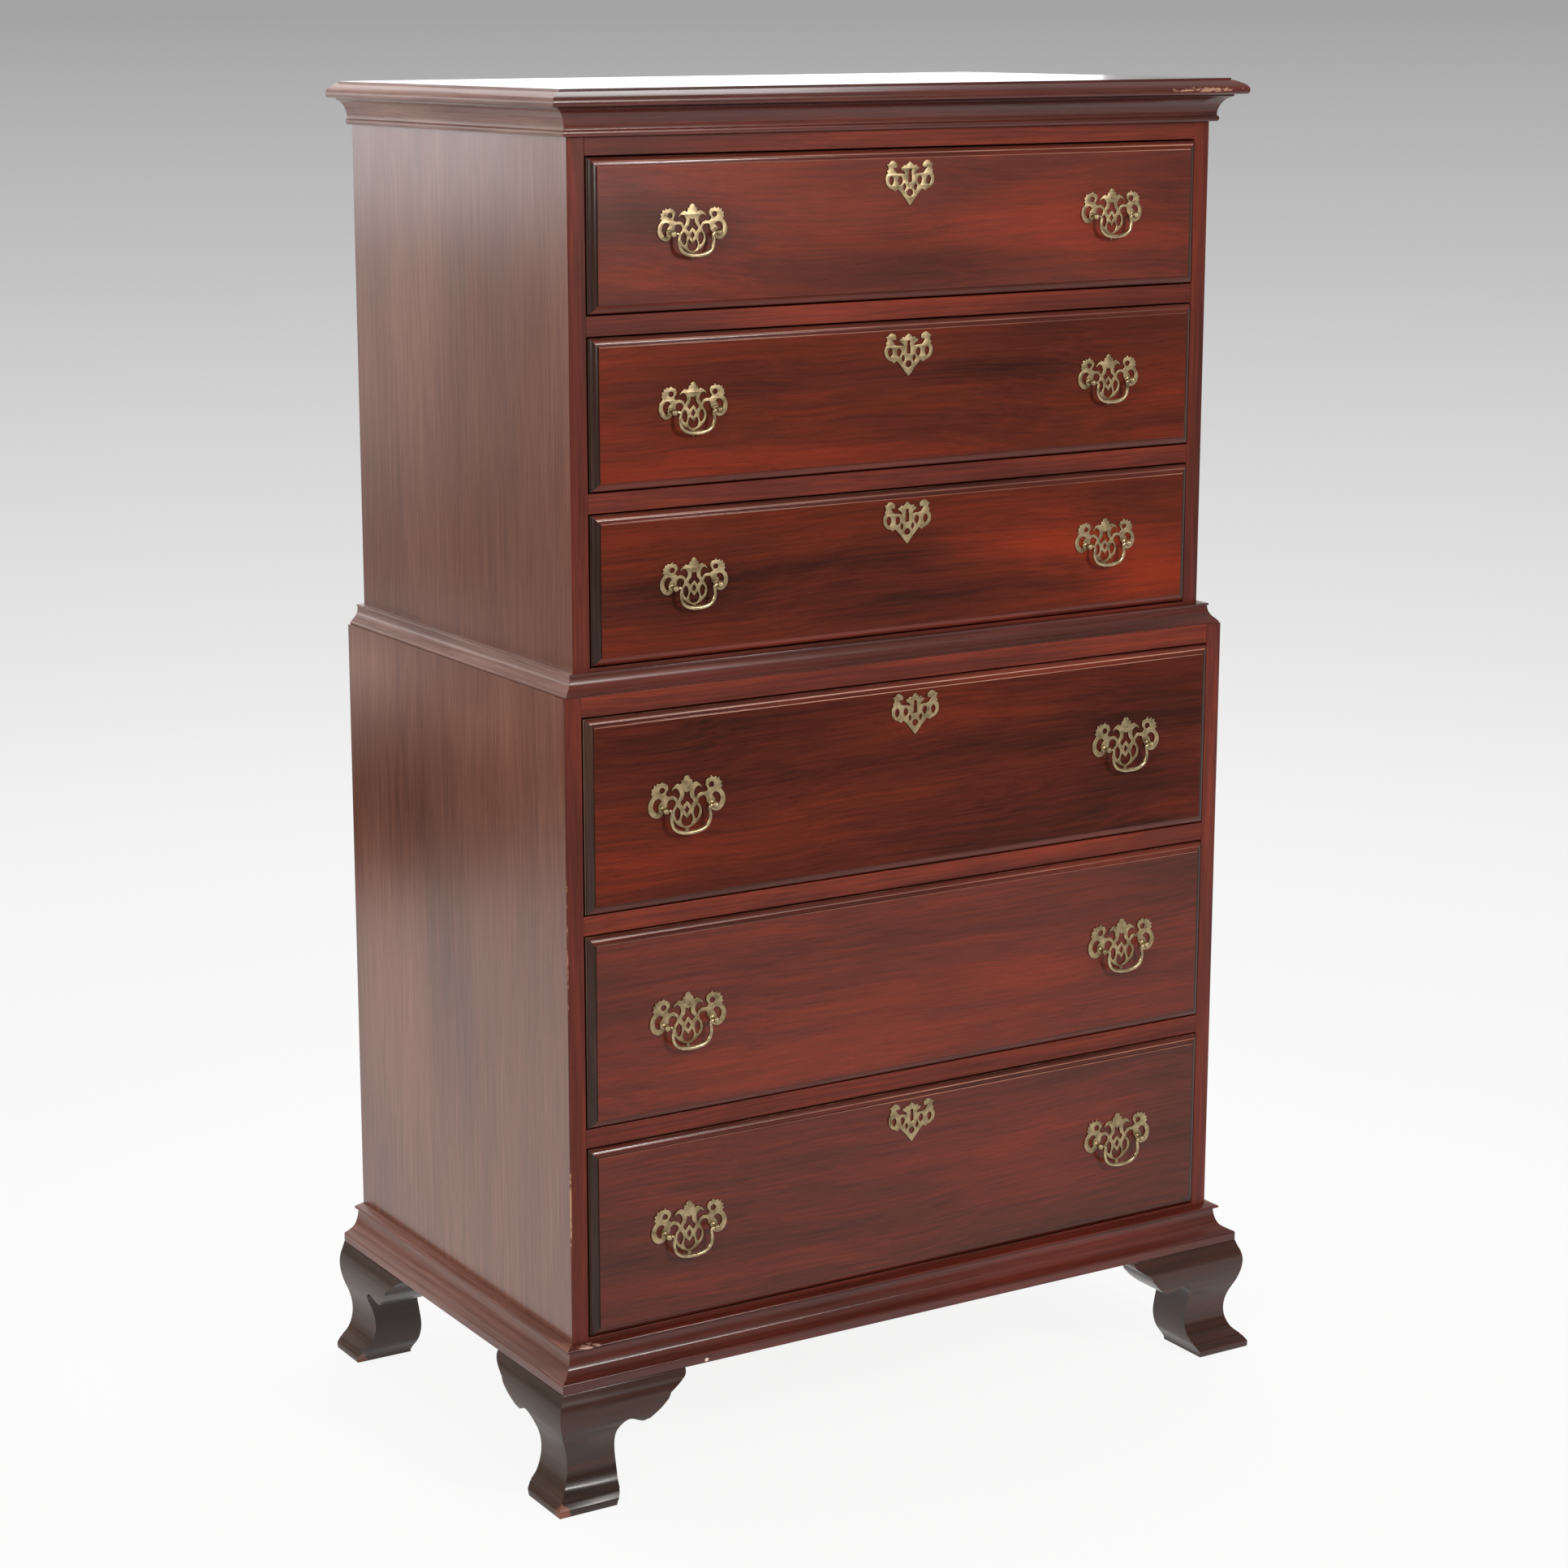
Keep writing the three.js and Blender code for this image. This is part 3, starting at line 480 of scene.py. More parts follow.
def faceFrame(prefix, half, front, bottom, top, openings):
    inner = half - case["stile"]
    y0, y1 = front, front + case["frameDepth"]
    boxes = [(-half, -inner, y0, y1, bottom, top, 0), (inner, half, y0, y1, bottom, top, 0)]
    y0 += case["joint"]  # the rails sit a hair behind the stiles
    edges = [top] + [z for low, high in openings for z in (high, low)] + [bottom]
    boxes += [(-inner, inner, y0, y1, edges[i + 1], edges[i], 1) for i in range(0, len(edges), 2)]
    woods = [mahoganyStile, mahoganyRail, mahoganySide, wornArris if prefix == "lower" else mahoganyStile]

    def edgeShare(a, b):
        if max(a.y, b.y) > front + case["joint"] + case["near"]:
            return 0
        outer = min(abs(a.x), abs(b.x)) > half - case["near"] and abs(a.z - b.z) > case["longEdge"]
        return 1 if outer else case["innerShare"]

    piece = boards(f"{prefix}FaceFrame", boxes, woods, case["arris"], edgeShare)
    for face in piece.data.polygons:  # the outer edge is seen with the side, the corner is rubbed
        if abs(face.center.x) > (half - case["outerSkin"]) * mm and abs(face.normal.x) > 0.2:
            face.material_index = 2 if abs(face.normal.x) > 0.95 else 3
    placed(piece, "case", "mahogany_frame", f"{prefix}_face_frame")


def caseSides(prefix, half, front, bottom, top, openings):
    y0, y1 = front + case["frameDepth"] + case["seam"], case["back"]
    for word, sign in (("left", -1), ("right", 1)):
        outer, inner = sign * half, sign * (half - case["panel"])
        xs = sorted((outer, inner))
        boxes = [(*xs, y0, y1, bottom, top, 0)]
        for low, _ in openings[:-1]:
            reach = sorted((inner, inner - sign * case["runner"]))
            boxes.append((*reach, y0, y1 - case["backStock"] - case["backSeam"], low - case["rail"], low, 1))
        piece = boards(f"{prefix}Side{word.capitalize()}", boxes, [mahoganySide, secondaryBoard], 0)
        placed(piece, "case", "mahogany_side", f"{prefix}_side_{word}")


for prefix in ("lower", "upper"):
    sizes = [case[f"{prefix}{key}"] for key in ("Half", "Front", "Bottom", "Top", "Openings")]
    faceFrame(prefix, *sizes)
    caseSides(prefix, *sizes)
for name in ("lower_bottom", "upper_bottom", "lower_top"):
    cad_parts[name].data.materials[0] = secondaryPanel
for prefix, wood in backPanels.items():
    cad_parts[f"{prefix}_back"].data.materials[0] = wood
print("stage: cases made")

# each profile is projection from the case face and height above its base
topEdge = {
    "base": 1541.6,
    "runs": [
        [(31, 31.6), (32.6, 32.6), (33.4, 34.5), (33.6, 36.9), (32.9, 39.4), (31.3, 41.7), (29.2, 43.4), (26.4, 44.9),
         (22.8, 46.6), (19, 47.9)],
        [(17.4, 48.1)], [(17.4, 50.4)],
    ],
}
cornice = {
    "base": 1541.5,
    "runs": [
        [(0.2, 0)], [(7.2, 0)], [(7.8, 1.2), (8.4, 3.2), (7.9, 5.6), (6.6, 6.6)],
        [(6.4, 7.4), (6.4, 10), (7, 13.6), (9, 19), (11.7, 23.3), (14.7, 26.5), (19.3, 28.9)],
        [(20.4, 29.2)], [(20.4, 31.3)], [(0.2, 31.3)],
    ],
}
waist = {
    "base": 937,
    "runs": [
        [(0.2, 0.2)], [(19.7, 0.2)], [(19.7, 2.6)],
        [(18.6, 3.2), (17.2, 5.2), (13.6, 8.7), (10.8, 13.1), (9.6, 17.6), (9.2, 21.2)],
        [(10.6, 21.6)], [(10.6, 24)], [(0.2, 24)],
    ],
}
base = {
    "base": 142,
    "runs": [
        [(0.2, 0.2)], [(28, 0.2)],
        [(28, 9.6), (27.4, 11.2), (25.6, 12.2), (21, 14.2), (17, 16.6), (13.4, 19.9), (11, 24.2), (9.2, 29.5),
         (8.2, 34.5), (7.8, 38.8), (8.4, 40.4)],
        [(12.2, 41.3)], [(12.9, 42.6)], [(12.4, 43.9)], [(10.8, 44.6)], [(0.2, 46.9)],
    ],
}


def mouldings():
    half, front = case["upperHalf"], case["upperFront"]
    run = [(o, topEdge["base"] + h) for o, h in profileOf(topEdge["runs"])]
    rings = [[(-half - o, case["back"], z), (-half - o, front - o, z), (half + o, front - o, z),
              (half + o, case["back"], z)] for o, z in run]
    board = softened(ringStack("topBoard", rings, [mahoganyTop, mahoganyUpperRunSide, mahoganyMouldingFront],
                               lambda i, r: 1 if i in (0, 2) else 2, 24), 0.45)
    placed(board, "case", "mahogany_top", "top_board")
    for name, look, node, halfWidth, plane, sideWood in (
            ("corniceMoulding", cornice, "cornice_moulding", half, front, mahoganyUpperRunSide),
            ("waistMoulding", waist, "waist_moulding", half, front, mahoganyUpperRunSide),
            ("baseMoulding", base, "base_moulding", case["lowerHalf"], case["lowerFront"], mahoganyMouldingSide)):
        woods = [mahoganyMouldingFront, sideWood]
        run = mitredRun(name, profileOf(look["runs"]), halfWidth, plane, look["base"], woods)
        placed(softened(run, 0.3), "case", "mahogany_moulding", node)


mouldings()
print("stage: mouldings made")

foot = {
    "height": 142, "reach": 133, "pad": 45, "wing": 26, "rearExtra": 26,
    "spare": 2, "clear": 60, "slabDepth": 80, "over": 20, "hollowTop": 180,
    "face": [  # projection and height from the floor up
        [(40.6, 0), (41.6, 1.2), (42, 4.5), (41.8, 8), (41, 9.6)],
        [(37.8, 14)], [(36.4, 15.6)], [(35.2, 16)], [(35, 17.2)],
        [(34.8, 17.6), (31.6, 20.2), (26.2, 26), (21.4, 36.5), (19.4, 48.9), (20.6, 62.9), (24.4, 75.5),
         (30.4, 89.6), (34.6, 104.8), (35.6, 117.6), (33.8, 127.4), (30.9, 134.5), (28.2, 141.8)],
    ],
    "outline": [  # bracket outline: along the foot, height
        [(133, 141.8)],
        [(132.4, 138), (130.4, 134), (126, 130.6), (121, 127), (114, 122.4), (109, 119)],
        [(106.5, 113), (96, 102), (83.5, 92)],
        [(81, 91.6), (74.5, 90.6), (67, 93.4), (60, 96.6), (53.5, 97), (46, 92.6), (41, 85), (40.6, 74), (42.2, 60),
         (43.8, 44), (43.6, 32), (41, 19), (36, 9), (33.6, 4), (33.2, 0)],
    ],
}


def slab(points):
    count = len(points)
    mesh = bpy.data.meshes.new("bracketSlab")
    depths = (-foot["clear"], foot["reach"] + foot["slabDepth"])
    faces = [tuple(reversed(range(count))), tuple(range(count, 2 * count))]
    faces += [(count + i, count + (i + 1) % count, (i + 1) % count, i) for i in range(count)]
    mesh.from_pydata([(x * mm, y * mm, z * mm) for y in depths for x, z in points], [], faces)
    cleaned(mesh, 0)
    return linked("bracketSlab", mesh)


def cutWith(piece, cutters):
    for cutter in cutters:
        hollow = piece.modifiers.new("hollow", "BOOLEAN")
        hollow.operation = "DIFFERENCE"
        hollow.solver = "EXACT"
        hollow.object = cutter
    settled(piece)
    for cutter in cutters:
        bpy.data.objects.remove(cutter)


def cornerFoot(name, rear):
    extra = foot["rearExtra"] if rear else 0
    pad, wing, clear, over = (foot[key] for key in ("pad", "wing", "clear", "over"))
    edge, far, top = foot["reach"] + foot["spare"], foot["reach"] + clear, foot["height"] + over
    rings = []
    for o, h in profileOf(foot["face"]):
        front = 0 if rear else -o
        rings.append([(-o, front, h), (-o, edge + extra, h), (edge, edge + extra, h), (edge, front, h)])
    body = ringStack(name, rings, [mahoganyFootFront, mahoganyFootSide], lambda i, r: 1 if i == 0 else 0, 24)
    across = profileOf(foot["outline"], 3)
    across[0] = (across[0][0], top)
    across[-1] = (across[-1][0], -over)
    across += [(far, -over), (far, top)]
    first, second = slab(across), slab([(x + extra, z) for x, z in across])
    second.data.transform(Matrix(((0, 1, 0, 0), (1, 0, 0, 0), (0, 0, 1, 0), (0, 0, 0, 1))))  # x and y changed round
    second.data.flip_normals()
    levels = (-over, foot["hollowTop"], 0)
    hollows = [boards(word, [(*spans, *levels)], [mahoganyFootFront], 0) for word, spans in (
        ("hollowAcross", (pad, far, -clear if rear else wing, far)), ("hollowAlong", (wing, far, pad + extra, far)))]
    cutWith(body, [first, second] + hollows)
    shade(body.data, 30)
    return body


def feet():
    for word, rear in (("front", False), ("rear", True)):
        for side, sign in (("left", 1), ("right", -1)):
            name = f"foot{word.capitalize()}{side.capitalize()}"
            piece = cornerFoot(name, rear)
            turn = -1 if rear else 1
            place = Matrix.Translation((-sign * case["lowerHalf"] * mm,
                                        (case["back"] if rear else case["lowerFront"]) * mm, 0))
            piece.data.transform(place @ Matrix.Diagonal((sign, turn, 1, 1)))
            if sign * turn < 0:
                piece.data.flip_normals()
            softened(piece, 0.5, 2, 42)
            placed(piece, "case", "mahogany_foot", f"foot_{word}_{side}")


feet()
print("stage: feet made")

drawer = {
    "gap": 2, "proud": 8, "tongue": 14, "round": 9, "step": 1.8, "arcSteps": 10, "lips": (0.05, 1.1),
    "woods": {"face": 0, "lying": 1, "upright": 2, "rubbed": 3, "worn": 4},
    "rings": {"arris": 1, "crown": 7, "lip": 12},
}


def edgeWood(side, ring):  # the sides run bottom, right, top, left; the outer arris on the top and left is rubbed wear and painted highlight, and two thin lines along the top are painted highlights, the inner one also rubbed wear
    rings, woods = drawer["rings"], drawer["woods"]
    if ring == rings["arris"] and side > 1:
        return woods["rubbed"]
    if ring in (rings["crown"], rings["lip"]) and side == 2:
        return woods["worn"]
    if ring == rings["lip"]:
        return woods["face"]
    return woods["lying" if side in (0, 2) else "upright"]


def openingOf(n):
    key = "upper" if n < 4 else "lower"
    return key, *case[f"{key}Openings"][(n - 1) % 3]


def drawerFronts():
    gap, proud, turn, steps = (drawer[key] for key in ("gap", "proud", "round", "arcSteps"))
    rise = proud - drawer["step"]
    turned = [(turn * (1 - math.cos(a)), rise * math.sin(a))
              for a in [math.radians(90 * k / steps) for k in range(steps + 1)]]
    run = [(0, -drawer["tongue"])] + turned + [(turn + lip, proud) for lip in drawer["lips"]]
    for n in range(1, 7):
        key, low, high = openingOf(n)
        half = case[f"{key}Half"] - case["stile"] - gap
        low, high = low + gap, high - gap
        front = case[f"{key}Front"]
        rings = [[(-half + i, front - o, low + i), (half - i, front - o, low + i), (half - i, front - o, high - i),
                  (-half + i, front - o, high - i)] for i, o in run]
        woods = [mahoganyFronts[n], mahoganyEdge, mahoganyEdgePaintedShade, rubbedAndLitEdge, paintedHighlightLine]
        piece = ringStack(f"drawerFront{n}", rings, woods, edgeWood, 24)
        softened(piece, 0.4)
        placed(piece, f"drawer_{n}", "mahogany_front", f"drawer_{n}_front")
        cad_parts[f"drawer_{n}_box"].data.materials[0] = secondaryBoard


drawerFronts()
print("stage: drawer fronts made")

# right half of each outline, as shares of the casting's width, height counted from the post line
pull = {
    "thickness": 1.6, "bevel": 0.35, "pivot": 8.5, "heightShare": 0.965, "seam": 0.2,
    "upper": {"width": 89, "posts": 58, "drop": 24, "x": 285},
    "lower": {"width": 101.5, "posts": 64.5, "drop": 28, "x": 307.5},
    "post": [(4.3, 1.0), (4.3, 2.0), (3.4, 2.9), (2.1, 3.5), (1.8, 4.6)], "neck": (2.2, 3.4), "ball": 3.9, "tip": 0.01,
    "bore": {"radius": 1.7, "depth": 7, "inset": 1.8},
    "rises": [0.002, -0.002, -0.014, 0, -0.0155, -0.02],
    "outline": [
        (0, .364), (.023, .356), (.037, .337), (.042, .315), (.066, .312), (.068, .284), (.080, .264), (.112, .282),
        (.138, .270), (.166, .250), (.186, .226), (.196, .192), (.168, .222), (.138, .226), (.110, .206), (.093, .170),
        (.094, .128), (.118, .083), (.128, .110), (.153, .134), (.188, .148), (.223, .143), (.252, .152), (.268, .172),
        (.262, .194), (.243, .218), (.238, .250), (.250, .282), (.272, .300), (.296, .304), (.312, .330), (.334, .309),
        (.352, .302), (.376, .316), (.386, .286), (.420, .298), (.421, .260), (.453, .246), (.440, .214), (.460, .191),
        (.434, .172), (.447, .150), (.472, .120), (.491, .070), (.493, .015),
        (.474, -.036), (.439, -.076), (.392, -.095), (.351, -.090), (.315, -.065), (.292, -.025), (.280, .003),
        (.256, .026), (.248, .072), (.233, .098), (.2, .106), (.166, .094), (.145, .068), (.147, .037),
        (.174, -.005), (.189, -.053), (.188, -.099), (.168, -.150), (.127, -.195), (.074, -.232), (.021, -.254),
        (.015, -.309), (0, -.337),
    ],
    "holes": [
        [(-.032, .182), (0, .166), (.032, .182), (.036, .140), (.048, .1), (.074, .072), (.082, .049), (.053, .007),
         (0, .066), (-.053, .007), (-.082, .049), (-.074, .072), (-.048, .1), (-.036, .140)],
        [(0, .015), (.031, -.036), (0, -.084), (-.031, -.036)],
        [(-.05, -.082), (0, -.1385), (.05, -.082), (.072, -.1385), (.062, -.195), (.033, -.224), (0, -.233),
         (-.033, -.224), (-.062, -.195), (-.072, -.1385)],
    ],
    "sideHoles": [
        [(.121, .009), (.151, -.025), (.159, -.07), (.142, -.127), (.115, -.158), (.095, -.127), (.084, -.07),
         (.092, -.025)],
        [(.321, .102), (.356, .134), (.398, .123), (.427, .083), (.431, .032), (.413, -.008), (.386, -.034),
         (.360, -.019), (.366, .020), (.352, .066)],
        [(.280, .2225), (.290, .247), (.315, .2575), (.340, .247), (.350, .2225), (.340, .198), (.315, .1875),
         (.290, .198)],
    ],
}
escutcheon = {
    "width": 67, "height": 50, "thickness": 1.6, "bevel": 0.3, "drop": 40,
    "outline": [
        (0, .49), (.035, .452), (.075, .40), (.129, .413), (.140, .372), (.194, .347), (.176, .306), (.144, .281),
        (.114, .245), (.104, .204), (.164, .22), (.243, .226), (.282, .248), (.303, .281), (.345, .358), (.300, .350),
        (.253, .369), (.263, .447), (.305, .490), (.353, .51), (.400, .485), (.422, .447), (.470, .430), (.442, .38),
        (.438, .32), (.470, .280), (.450, .235), (.487, .16), (.49, .07), (.480, 0), (.452, -.05), (.405, -.105),
        (.353, -.127), (.303, -.171), (.243, -.127), (.194, -.193), (.124, -.292), (.065, -.39), (0, -.49),
    ],
    "holes": [
        [(0, .325), (.022, .314), (.034, .280), (.026, .240), (.033, .200), (.035, .02), (-.035, .02),
         (-.033, .200), (-.026, .240), (-.034, .280), (-.022, .314)],
        [(0, -.127), (.042, -.150), (.06, -.205), (.042, -.262), (0, -.29), (-.042, -.262), (-.06, -.205),
         (-.042, -.150)],
    ],
    "sideHoles": [
        [(.109, .005), (.136, -.04), (.139, -.09), (.112, -.168), (.088, -.12), (.082, -.06)],
        [(.2, .17), (.232, .13), (.239, .07), (.225, 0), (.2, -.045), (.166, 0), (.149, .07), (.165, .13)],
        [(.378, .18), (.410, .14), (.422, .07), (.405, 0), (.372, -.042), (.345, 0), (.330, .07), (.342, .14)],
    ],
}


def turnAt(points, i):
    a, b, c = (Vector(points[k % len(points)]) for k in (i - 1, i, i + 1))
    return (b - a).angle(c - b, 0)


def traced(curve, points, sharp=50):
    spline = curve.splines.new("BEZIER")
    spline.bezier_points.add(len(points) - 1)
    spline.use_cyclic_u = True
    spline.resolution_u = 3
    for i, (point, (x, z)) in enumerate(zip(spline.bezier_points, points)):
        kind = "VECTOR" if turnAt(points, i) > math.radians(sharp) else "AUTO"
        point.co = (x * mm, z * mm, 0)
        point.handle_left_type = point.handle_right_type = kind


def piercedPlate(name, look, width, height):
    curve = bpy.data.curves.new(name, "CURVE")
    curve.dimensions = "2D"
    curve.fill_mode = "BOTH"
    curve.bevel_depth = look["bevel"] * mm
    curve.bevel_resolution = 2
    curve.offset = -look["bevel"] * mm
    curve.extrude = (look["thickness"] / 2 - look["bevel"]) * mm
    half = look["outline"]
    whole = half + [(-x, z) for x, z in reversed(half[1:-1])]
    sides = [[(flip * x, z) for x, z in hole] for hole in look["sideHoles"] for flip in (1, -1)]
    for points in [whole] + look["holes"] + sides:
        traced(curve, [(x * width, z * height) for x, z in points])
    drawn = linked(name, curve)
    mesh = evaluated(drawn)
    bpy.data.objects.remove(drawn)
    mesh.transform(Matrix.Rotation(math.radians(90), 4, "X"))
    mesh.transform(Matrix.Translation((0, -look["thickness"] / 2 * mm, 0)))
    mesh.materials.clear()
    mesh.materials.append(castBrass)
    cleaned(mesh, 2e-6)
    shade(mesh, 30)
    return mesh


def turnedPost(x):
    out, ball, tip, sides = pull["thickness"] + pull["pivot"], pull["ball"], pull["tip"], 20
    neck, back = pull["neck"]
    profile = rounded(pull["post"] + [(neck, out - back)], 2)
    turned = [(ball * math.sin(a), out - ball * math.cos(a)) for a in [math.radians(35 + 14.5 * k) for k in range(10)]]
    run = [(tip, 0.8)] + profile[:-1] + turned + [(tip, out + ball)]
    return [[(x + r * math.cos(2 * math.pi * i / sides), -y, r * math.sin(2 * math.pi * i / sides))
             for i in range(sides)] for r, y in run]


def joined(name, parts, material):
    shell = bmesh.new()
    for part in parts:
        shell.from_mesh(part)
    mesh = bpy.data.meshes.new(name)
    shell.to_mesh(mesh)
    shell.free()
    mesh.materials.append(material)
    shade(mesh, 32)
    return mesh


def pullCasting(key):
    look, bore = pull[key], pull["bore"]
    radius = bore["radius"] * mm
    parts = [piercedPlate(f"{key}PullPlate", pull, look["width"], look["width"] * pull["heightShare"])]
    for sign in (-1, 1):
        post = ringStack("post", turnedPost(sign * look["posts"] / 2), [castBrass])
        hole, drill = bpy.data.meshes.new("bore"), bmesh.new()
        place = Matrix.Translation((sign * (look["posts"] / 2 - bore["inset"]) * mm,
                                    -(pull["thickness"] + pull["pivot"]) * mm, 0))
        bmesh.ops.create_cone(drill, cap_ends=True, segments=16, radius1=radius, radius2=radius,
                              depth=bore["depth"] * mm, matrix=place @ Matrix.Rotation(math.radians(90), 4, "Y"))
        drill.to_mesh(hole)
        drill.free()
        cutWith(post, [linked("bore", hole)])
        parts.append(post.data)
        bpy.data.objects.remove(post)
    return joined(f"{key}PullCasting", parts, castBrass)


# a bent rod: the curve carries its own radius from point to point
def rodTree():
    tree = bpy.data.node_groups.new("bentRod", "GeometryNodeTree")
    for name, way, kind in (("Path", "INPUT", "Geometry"), ("Steps", "INPUT", "Int"), ("Sides", "INPUT", "Int"),
                            ("Finish", "INPUT", "Material"), ("Rod", "OUTPUT", "Geometry")):
        tree.interface.new_socket(name, in_out=way, socket_type=f"NodeSocket{kind}")
    given, made = tree.nodes.new("NodeGroupInput"), tree.nodes.new("NodeGroupOutput")
    even = tree.nodes.new("GeometryNodeResampleCurve")
    circle = tree.nodes.new("GeometryNodeCurvePrimitiveCircle")
    circle.inputs["Radius"].default_value = 1
    sweep = tree.nodes.new("GeometryNodeCurveToMesh")
    sweep.inputs["Fill Caps"].default_value = True
    radius = tree.nodes.new("GeometryNodeInputRadius")
    wire(tree, radius.outputs[0], sweep.inputs["Scale"])
    smooth = tree.nodes.new("GeometryNodeSetShadeSmooth")
    real = tree.nodes.new("GeometryNodeRealizeInstances")
    finish = tree.nodes.new("GeometryNodeSetMaterial")
    wire(tree, given.outputs["Path"], even.inputs["Curve"])
    wire(tree, given.outputs["Steps"], even.inputs["Count"])
    wire(tree, given.outputs["Sides"], circle.inputs["Resolution"])
    wire(tree, even.outputs[0], sweep.inputs["Curve"])
    wire(tree, circle.outputs[0], sweep.inputs["Profile Curve"])
    wire(tree, sweep.outputs[0], smooth.inputs[0])
    wire(tree, smooth.outputs[0], real.inputs[0])
    wire(tree, real.outputs[0], finish.inputs["Geometry"])
    wire(tree, given.outputs["Finish"], finish.inputs["Material"])
    wire(tree, finish.outputs[0], made.inputs[0])
    return tree


def setInput(modifier, name, value):
    for item in modifier.node_group.interface.items_tree:
        if item.name == name and item.in_out == "INPUT":
            modifier[item.identifier] = value


bail = {
    "path": [  # shares of the arm and of the drop, and the rod's radius
        (1.52, 0, 1.35), (1.3, 0, 1.35), (1.12, -.005, 1.5), (1.03, .03, 1.75), (1.005, .12, 1.9), (1.04, .3, 2.0),
        (1.0, .58, 2.1), (.89, .76, 2.25), (.68, .895, 2.4), (.37, .975, 2.45), (0, 1, 2.5),
    ],
    "gap": 1.8, "inset": 2.3, "over": 1.2, "steps": 84, "sides": 14,
}


def bentBail(key, tree):
    look = pull[key]
    arm = look["posts"] / 2 - pull["ball"] - bail["gap"] - bail["inset"]
    end = look["posts"] / 2 + bail["over"]
    right = [(min(a * arm, end) if i else end, d * look["drop"], r) for i, (a, d, r) in enumerate(bail["path"])]
    points = [(x, -d, r) for x, d, r in right] + [(-x, -d, r) for x, d, r in reversed(right[:-1])]
    curve = bpy.data.curves.new("bailPath", "CURVE")
    curve.dimensions = "3D"
    spline = curve.splines.new("BEZIER")
    spline.bezier_points.add(len(points) - 1)
    spline.resolution_u = 8
    for point, (x, z, r) in zip(spline.bezier_points, points):
        point.co = (x * mm, -(pull["thickness"] + pull["pivot"]) * mm, z * mm)
        point.radius = r * mm
        point.handle_left_type = point.handle_right_type = "AUTO"
    drawn = linked(f"{key}Bail", curve)
    modifier = drawn.modifiers.new("rod", "NODES")
    modifier.node_group = tree
    for name, value in (("Steps", bail["steps"]), ("Sides", bail["sides"]), ("Finish", bailBrass)):
        setInput(modifier, name, value)
    mesh = evaluated(drawn)
    bpy.data.objects.remove(drawn)
    cleaned(mesh)
    shade(mesh, 40)
    return mesh


def copyAt(name, mesh, place):
    fresh = mesh.copy()
    fresh.name = name
    fresh.transform(Matrix.Translation([c * mm for c in place]))
    return linked(name, fresh)


def brasses():
    tree = rodTree()
    castings = {key: pullCasting(key) for key in ("upper", "lower")}
    bails = {key: bentBail(key, tree) for key in ("upper", "lower")}
    plate = piercedPlate("escutcheonPlate", escutcheon, escutcheon["width"], escutcheon["height"])
    for n in range(1, 7):
        key, low, high = openingOf(n)
        face = case[f"{key}Front"] - drawer["proud"] - pull["seam"]
        axis = (low + high) / 2 + pull["rises"][n - 1] * (high - low)
        for side, sign in (("left", -1), ("right", 1)):
            x = sign * pull[key]["x"]
            casting = copyAt(f"pullPlate{n}{side.capitalize()}", castings[key], (x, face, axis))
            placed(casting, f"drawer_{n}", "brass", f"drawer_{n}_backplate_{side}")
            hung = copyAt(f"bail{n}{side.capitalize()}", bails[key], (x, face, axis))
            placed(hung, f"drawer_{n}_bail_{side}", "brass", f"drawer_{n}_bail_{side}")
        if n != 5:
            lock = copyAt(f"escutcheon{n}", plate, (0, face, high - escutcheon["drop"]))
            placed(lock, f"drawer_{n}", "brass", f"drawer_{n}_escutcheon")


brasses()
print("stage: brasses made")


studio = {
    "floorHalf": 9e5, "floorLevel": -0.3, "falloff": 6.0, "cover": (0.88, 0.3), "matt": 205,
    "floorTones": [(0.13, 255), (0.333, 245), (0.49, 228), (0.643, 211), (0.76, 195), (0.856, 184), (0.933, 174),
                   (1, 164)],
    "air": (255, 252, 248), "airStrength": 0.5, "backdrop": 164,
}


def grey(v):
    return linear((v, v, v))


def card(name, corners):
    return newPiece(name, corners, [(0, 1, 2, 3)], [])


def seenByEye(tree):  # the camera sees it, straight on or in something polished
    rays = addNode(tree, "ShaderNodeLightPath").outputs
    mirrored = mathNode(tree, "MAXIMUM", rays["Is Glossy Ray"], rays["Is Transmission Ray"])
    return mathNode(tree, "MAXIMUM", rays["Is Camera Ray"], mirrored)


def blended(tree, share, first, second):
    blend = tree.nodes.new("ShaderNodeMixShader")
    for value, socket in zip((share, first.outputs[0], second.outputs[0]), blend.inputs):
        wire(tree, value, socket)
    return blend.outputs[0]


def studioFloor():
    half, level = studio["floorHalf"], studio["floorLevel"]
    ends = ((-half, -half), (half, -half), (half, half), (-half, half))
    piece = card("studioFloor", [(x, y, level) for x, y in ends])
    material = bpy.data.materials.new("paleFloor")
    tree = nodeTree(material)
    far = addNode(tree, "ShaderNodeVectorMath", operation="LENGTH")
    wire(tree, addNode(tree, "ShaderNodeTexCoord").outputs["Object"], far.inputs[0])
    distance = far.outputs["Value"]
    share = mathNode(tree, "DIVIDE", distance, mathNode(tree, "ADD", distance, studio["falloff"]))
    glow = addNode(tree, "ShaderNodeEmission", Strength=1.0)
    wire(tree, rampNode(tree, [(place, grey(v)) for place, v in studio["floorTones"]], share), glow.inputs["Color"])
    matt = addNode(tree, "ShaderNodeBsdfDiffuse", Color=grey(studio["matt"]))
    least, growth = studio["cover"]
    cover = mathNode(tree, "ADD", mathNode(tree, "MULTIPLY", share, growth), least)
    cover = mathNode(tree, "MINIMUM", cover, 1.0)
    finishTree(tree, blended(tree, mathNode(tree, "MULTIPLY", seenByEye(tree), cover), matt, glow))
    piece.data.materials.append(material)


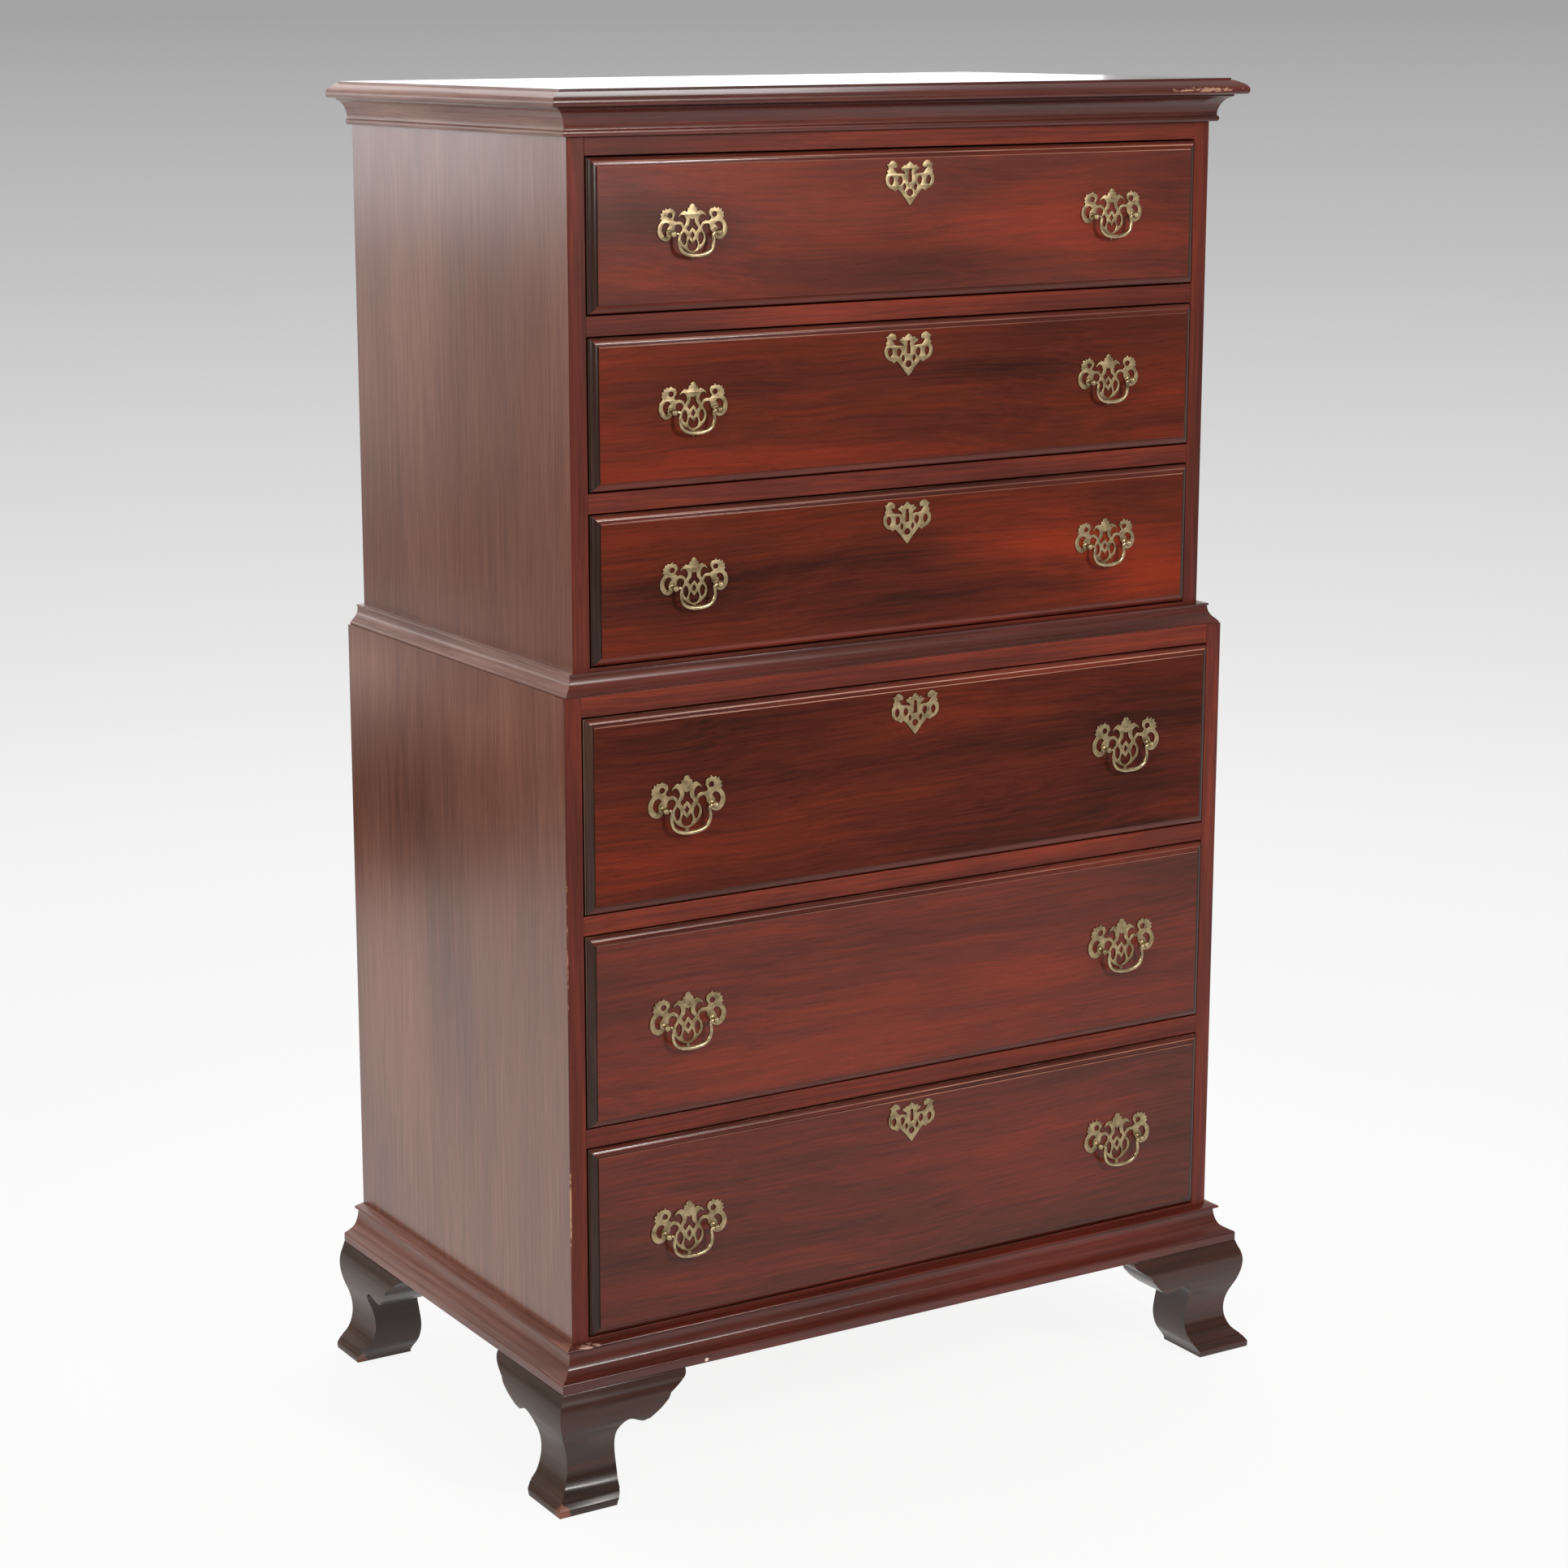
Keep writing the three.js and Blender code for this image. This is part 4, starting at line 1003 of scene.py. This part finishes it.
def studioWorld():
    scene.world = bpy.data.worlds.new("studioAir")
    tree = nodeTree(scene.world)
    air = addNode(tree, "ShaderNodeBackground", Color=linear(studio["air"]), Strength=studio["airStrength"])
    backdrop = addNode(tree, "ShaderNodeBackground", Color=grey(studio["backdrop"]), Strength=1.0)
    finishTree(tree, blended(tree, seenByEye(tree), air, backdrop), "ShaderNodeOutputWorld")


# the ends of the studio, which only the polish shows: height in metres and grey; they darken towards
# the left, and the fade says where that starts, how far it runs and what is left
walls = {
    "studioRear": {"y": 2.4, "fade": (-1.8, 0.36, 0.25),
                   "tones": [(0, 24), (0.22, 36), (0.34, 160), (0.42, 255), (0.5, 255), (0.62, 150), (0.95, 250),
                             (1.25, 240)]},
    "studioFront": {"y": -4.4, "fade": (0.8, 2.3, 0.3),
                    "tones": [(0, 84), (0.85, 60), (1.05, 180), (1.4, 206), (1.6, 110), (3.2, 70)]},
}


def studioWalls():
    half = 9  # metres
    for name, look in walls.items():
        y, top = look["y"], look["tones"][-1][0]
        corners = ((-half, y, 0), (half, y, 0), (half, y, top), (-half, y, top))
        piece = card(name, [[metres * 1000 for metres in corner] for corner in corners])
        material = bpy.data.materials.new(f"{name}Grey")
        tree = nodeTree(material)
        spot = addNode(tree, "ShaderNodeSeparateXYZ")
        wire(tree, addNode(tree, "ShaderNodeTexCoord").outputs["Object"], spot.inputs[0])
        glow = addNode(tree, "ShaderNodeEmission")
        wire(tree, rampNode(tree, [(z / top, grey(v)) for z, v in look["tones"]],
                            mathNode(tree, "DIVIDE", spot.outputs["Z"], top)), glow.inputs["Color"])
        start, span, least = look["fade"]
        along = mathNode(tree, "DIVIDE", mathNode(tree, "SUBTRACT", spot.outputs["X"], start), span)
        wire(tree, mathNode(tree, "MAXIMUM", mathNode(tree, "MINIMUM", along, 1.0), least), glow.inputs["Strength"])
        finishTree(tree, glow.outputs[0])
        piece.data.materials.append(material)
        for kind in ("camera", "diffuse", "transmission", "shadow", "volume_scatter"):
            setattr(piece, f"visible_{kind}", False)


lamps = {  # place and aim in metres, size, power and colour
    "keyLeft": [(-3.2, -2.4, 2.6), (0, 0, 0.9), (1.4, 1.4), 60, (1, 0.97, 0.93)],
    "frontLeft": [(0.78, -3.1, 2.3), (-0.3, 0, 0.7), (0.36, 0.8), 64, (1, 0.98, 0.95)],
    "overhead": [(0.2, 1.1, 3.6), (0, 0, 0), (2.4, 2.0), 62, (1, 1, 1)],
    "sheenLeft": [(-2.2, 4.1, 1.75), (-0.5, 0, 1.2), (1.5, 1.1), 13, (0.96, 0.97, 1)],
    "behind": [(1.6, 5.2, 2.7), (0.2, 0, 1.4), (5.0, 3.2), 62, (0.97, 0.98, 1)],
}


def studioLamps():
    for name, (place, aim, size, power, colour) in lamps.items():
        data = bpy.data.lights.new(name, "AREA")
        data.shape = "RECTANGLE"
        data.size, data.size_y = size
        data.energy, data.color = power, colour
        lamp = linked(name, data)
        lamp.location = place
        lamp.rotation_euler = (Vector(aim) - Vector(place)).to_track_quat("-Z", "Y").to_euler()
        lamp.visible_camera = False


view = {
    "place": (-2.19062, -3.49078, 1.66946), "yaw": 30.6445, "pitch": -12.2561, "roll": -0.2431,
    "sensor": 36, "lens": 78.546, "shift": (0.04902, -0.01772), "clipEnd": 4000,
}


def studioCamera():
    data = bpy.data.cameras.new("camera")
    data.sensor_fit, data.sensor_width, data.lens = "HORIZONTAL", view["sensor"], view["lens"]
    data.shift_x, data.shift_y = view["shift"]
    data.clip_end = view["clipEnd"]
    yaw, pitch, roll = (math.radians(view[key]) for key in ("yaw", "pitch", "roll"))
    ahead = Vector((math.sin(yaw) * math.cos(pitch), math.cos(yaw) * math.cos(pitch), math.sin(pitch)))
    right = Vector((math.cos(yaw), -math.sin(yaw), 0))
    up = right.cross(ahead)
    turnedRight = right * math.cos(roll) + up * math.sin(roll)
    turnedUp = up * math.cos(roll) - right * math.sin(roll)
    turn = Matrix((turnedRight, turnedUp, -ahead)).transposed()
    scene.camera = linked("camera", data)
    scene.camera.matrix_world = Matrix.Translation(view["place"]) @ turn.to_4x4()


studioFloor()
studioWorld()
studioWalls()
studioLamps()
studioCamera()
scene.view_settings.view_transform = "Standard"
print("stage: studio made")

bpy.context.view_layer.update()
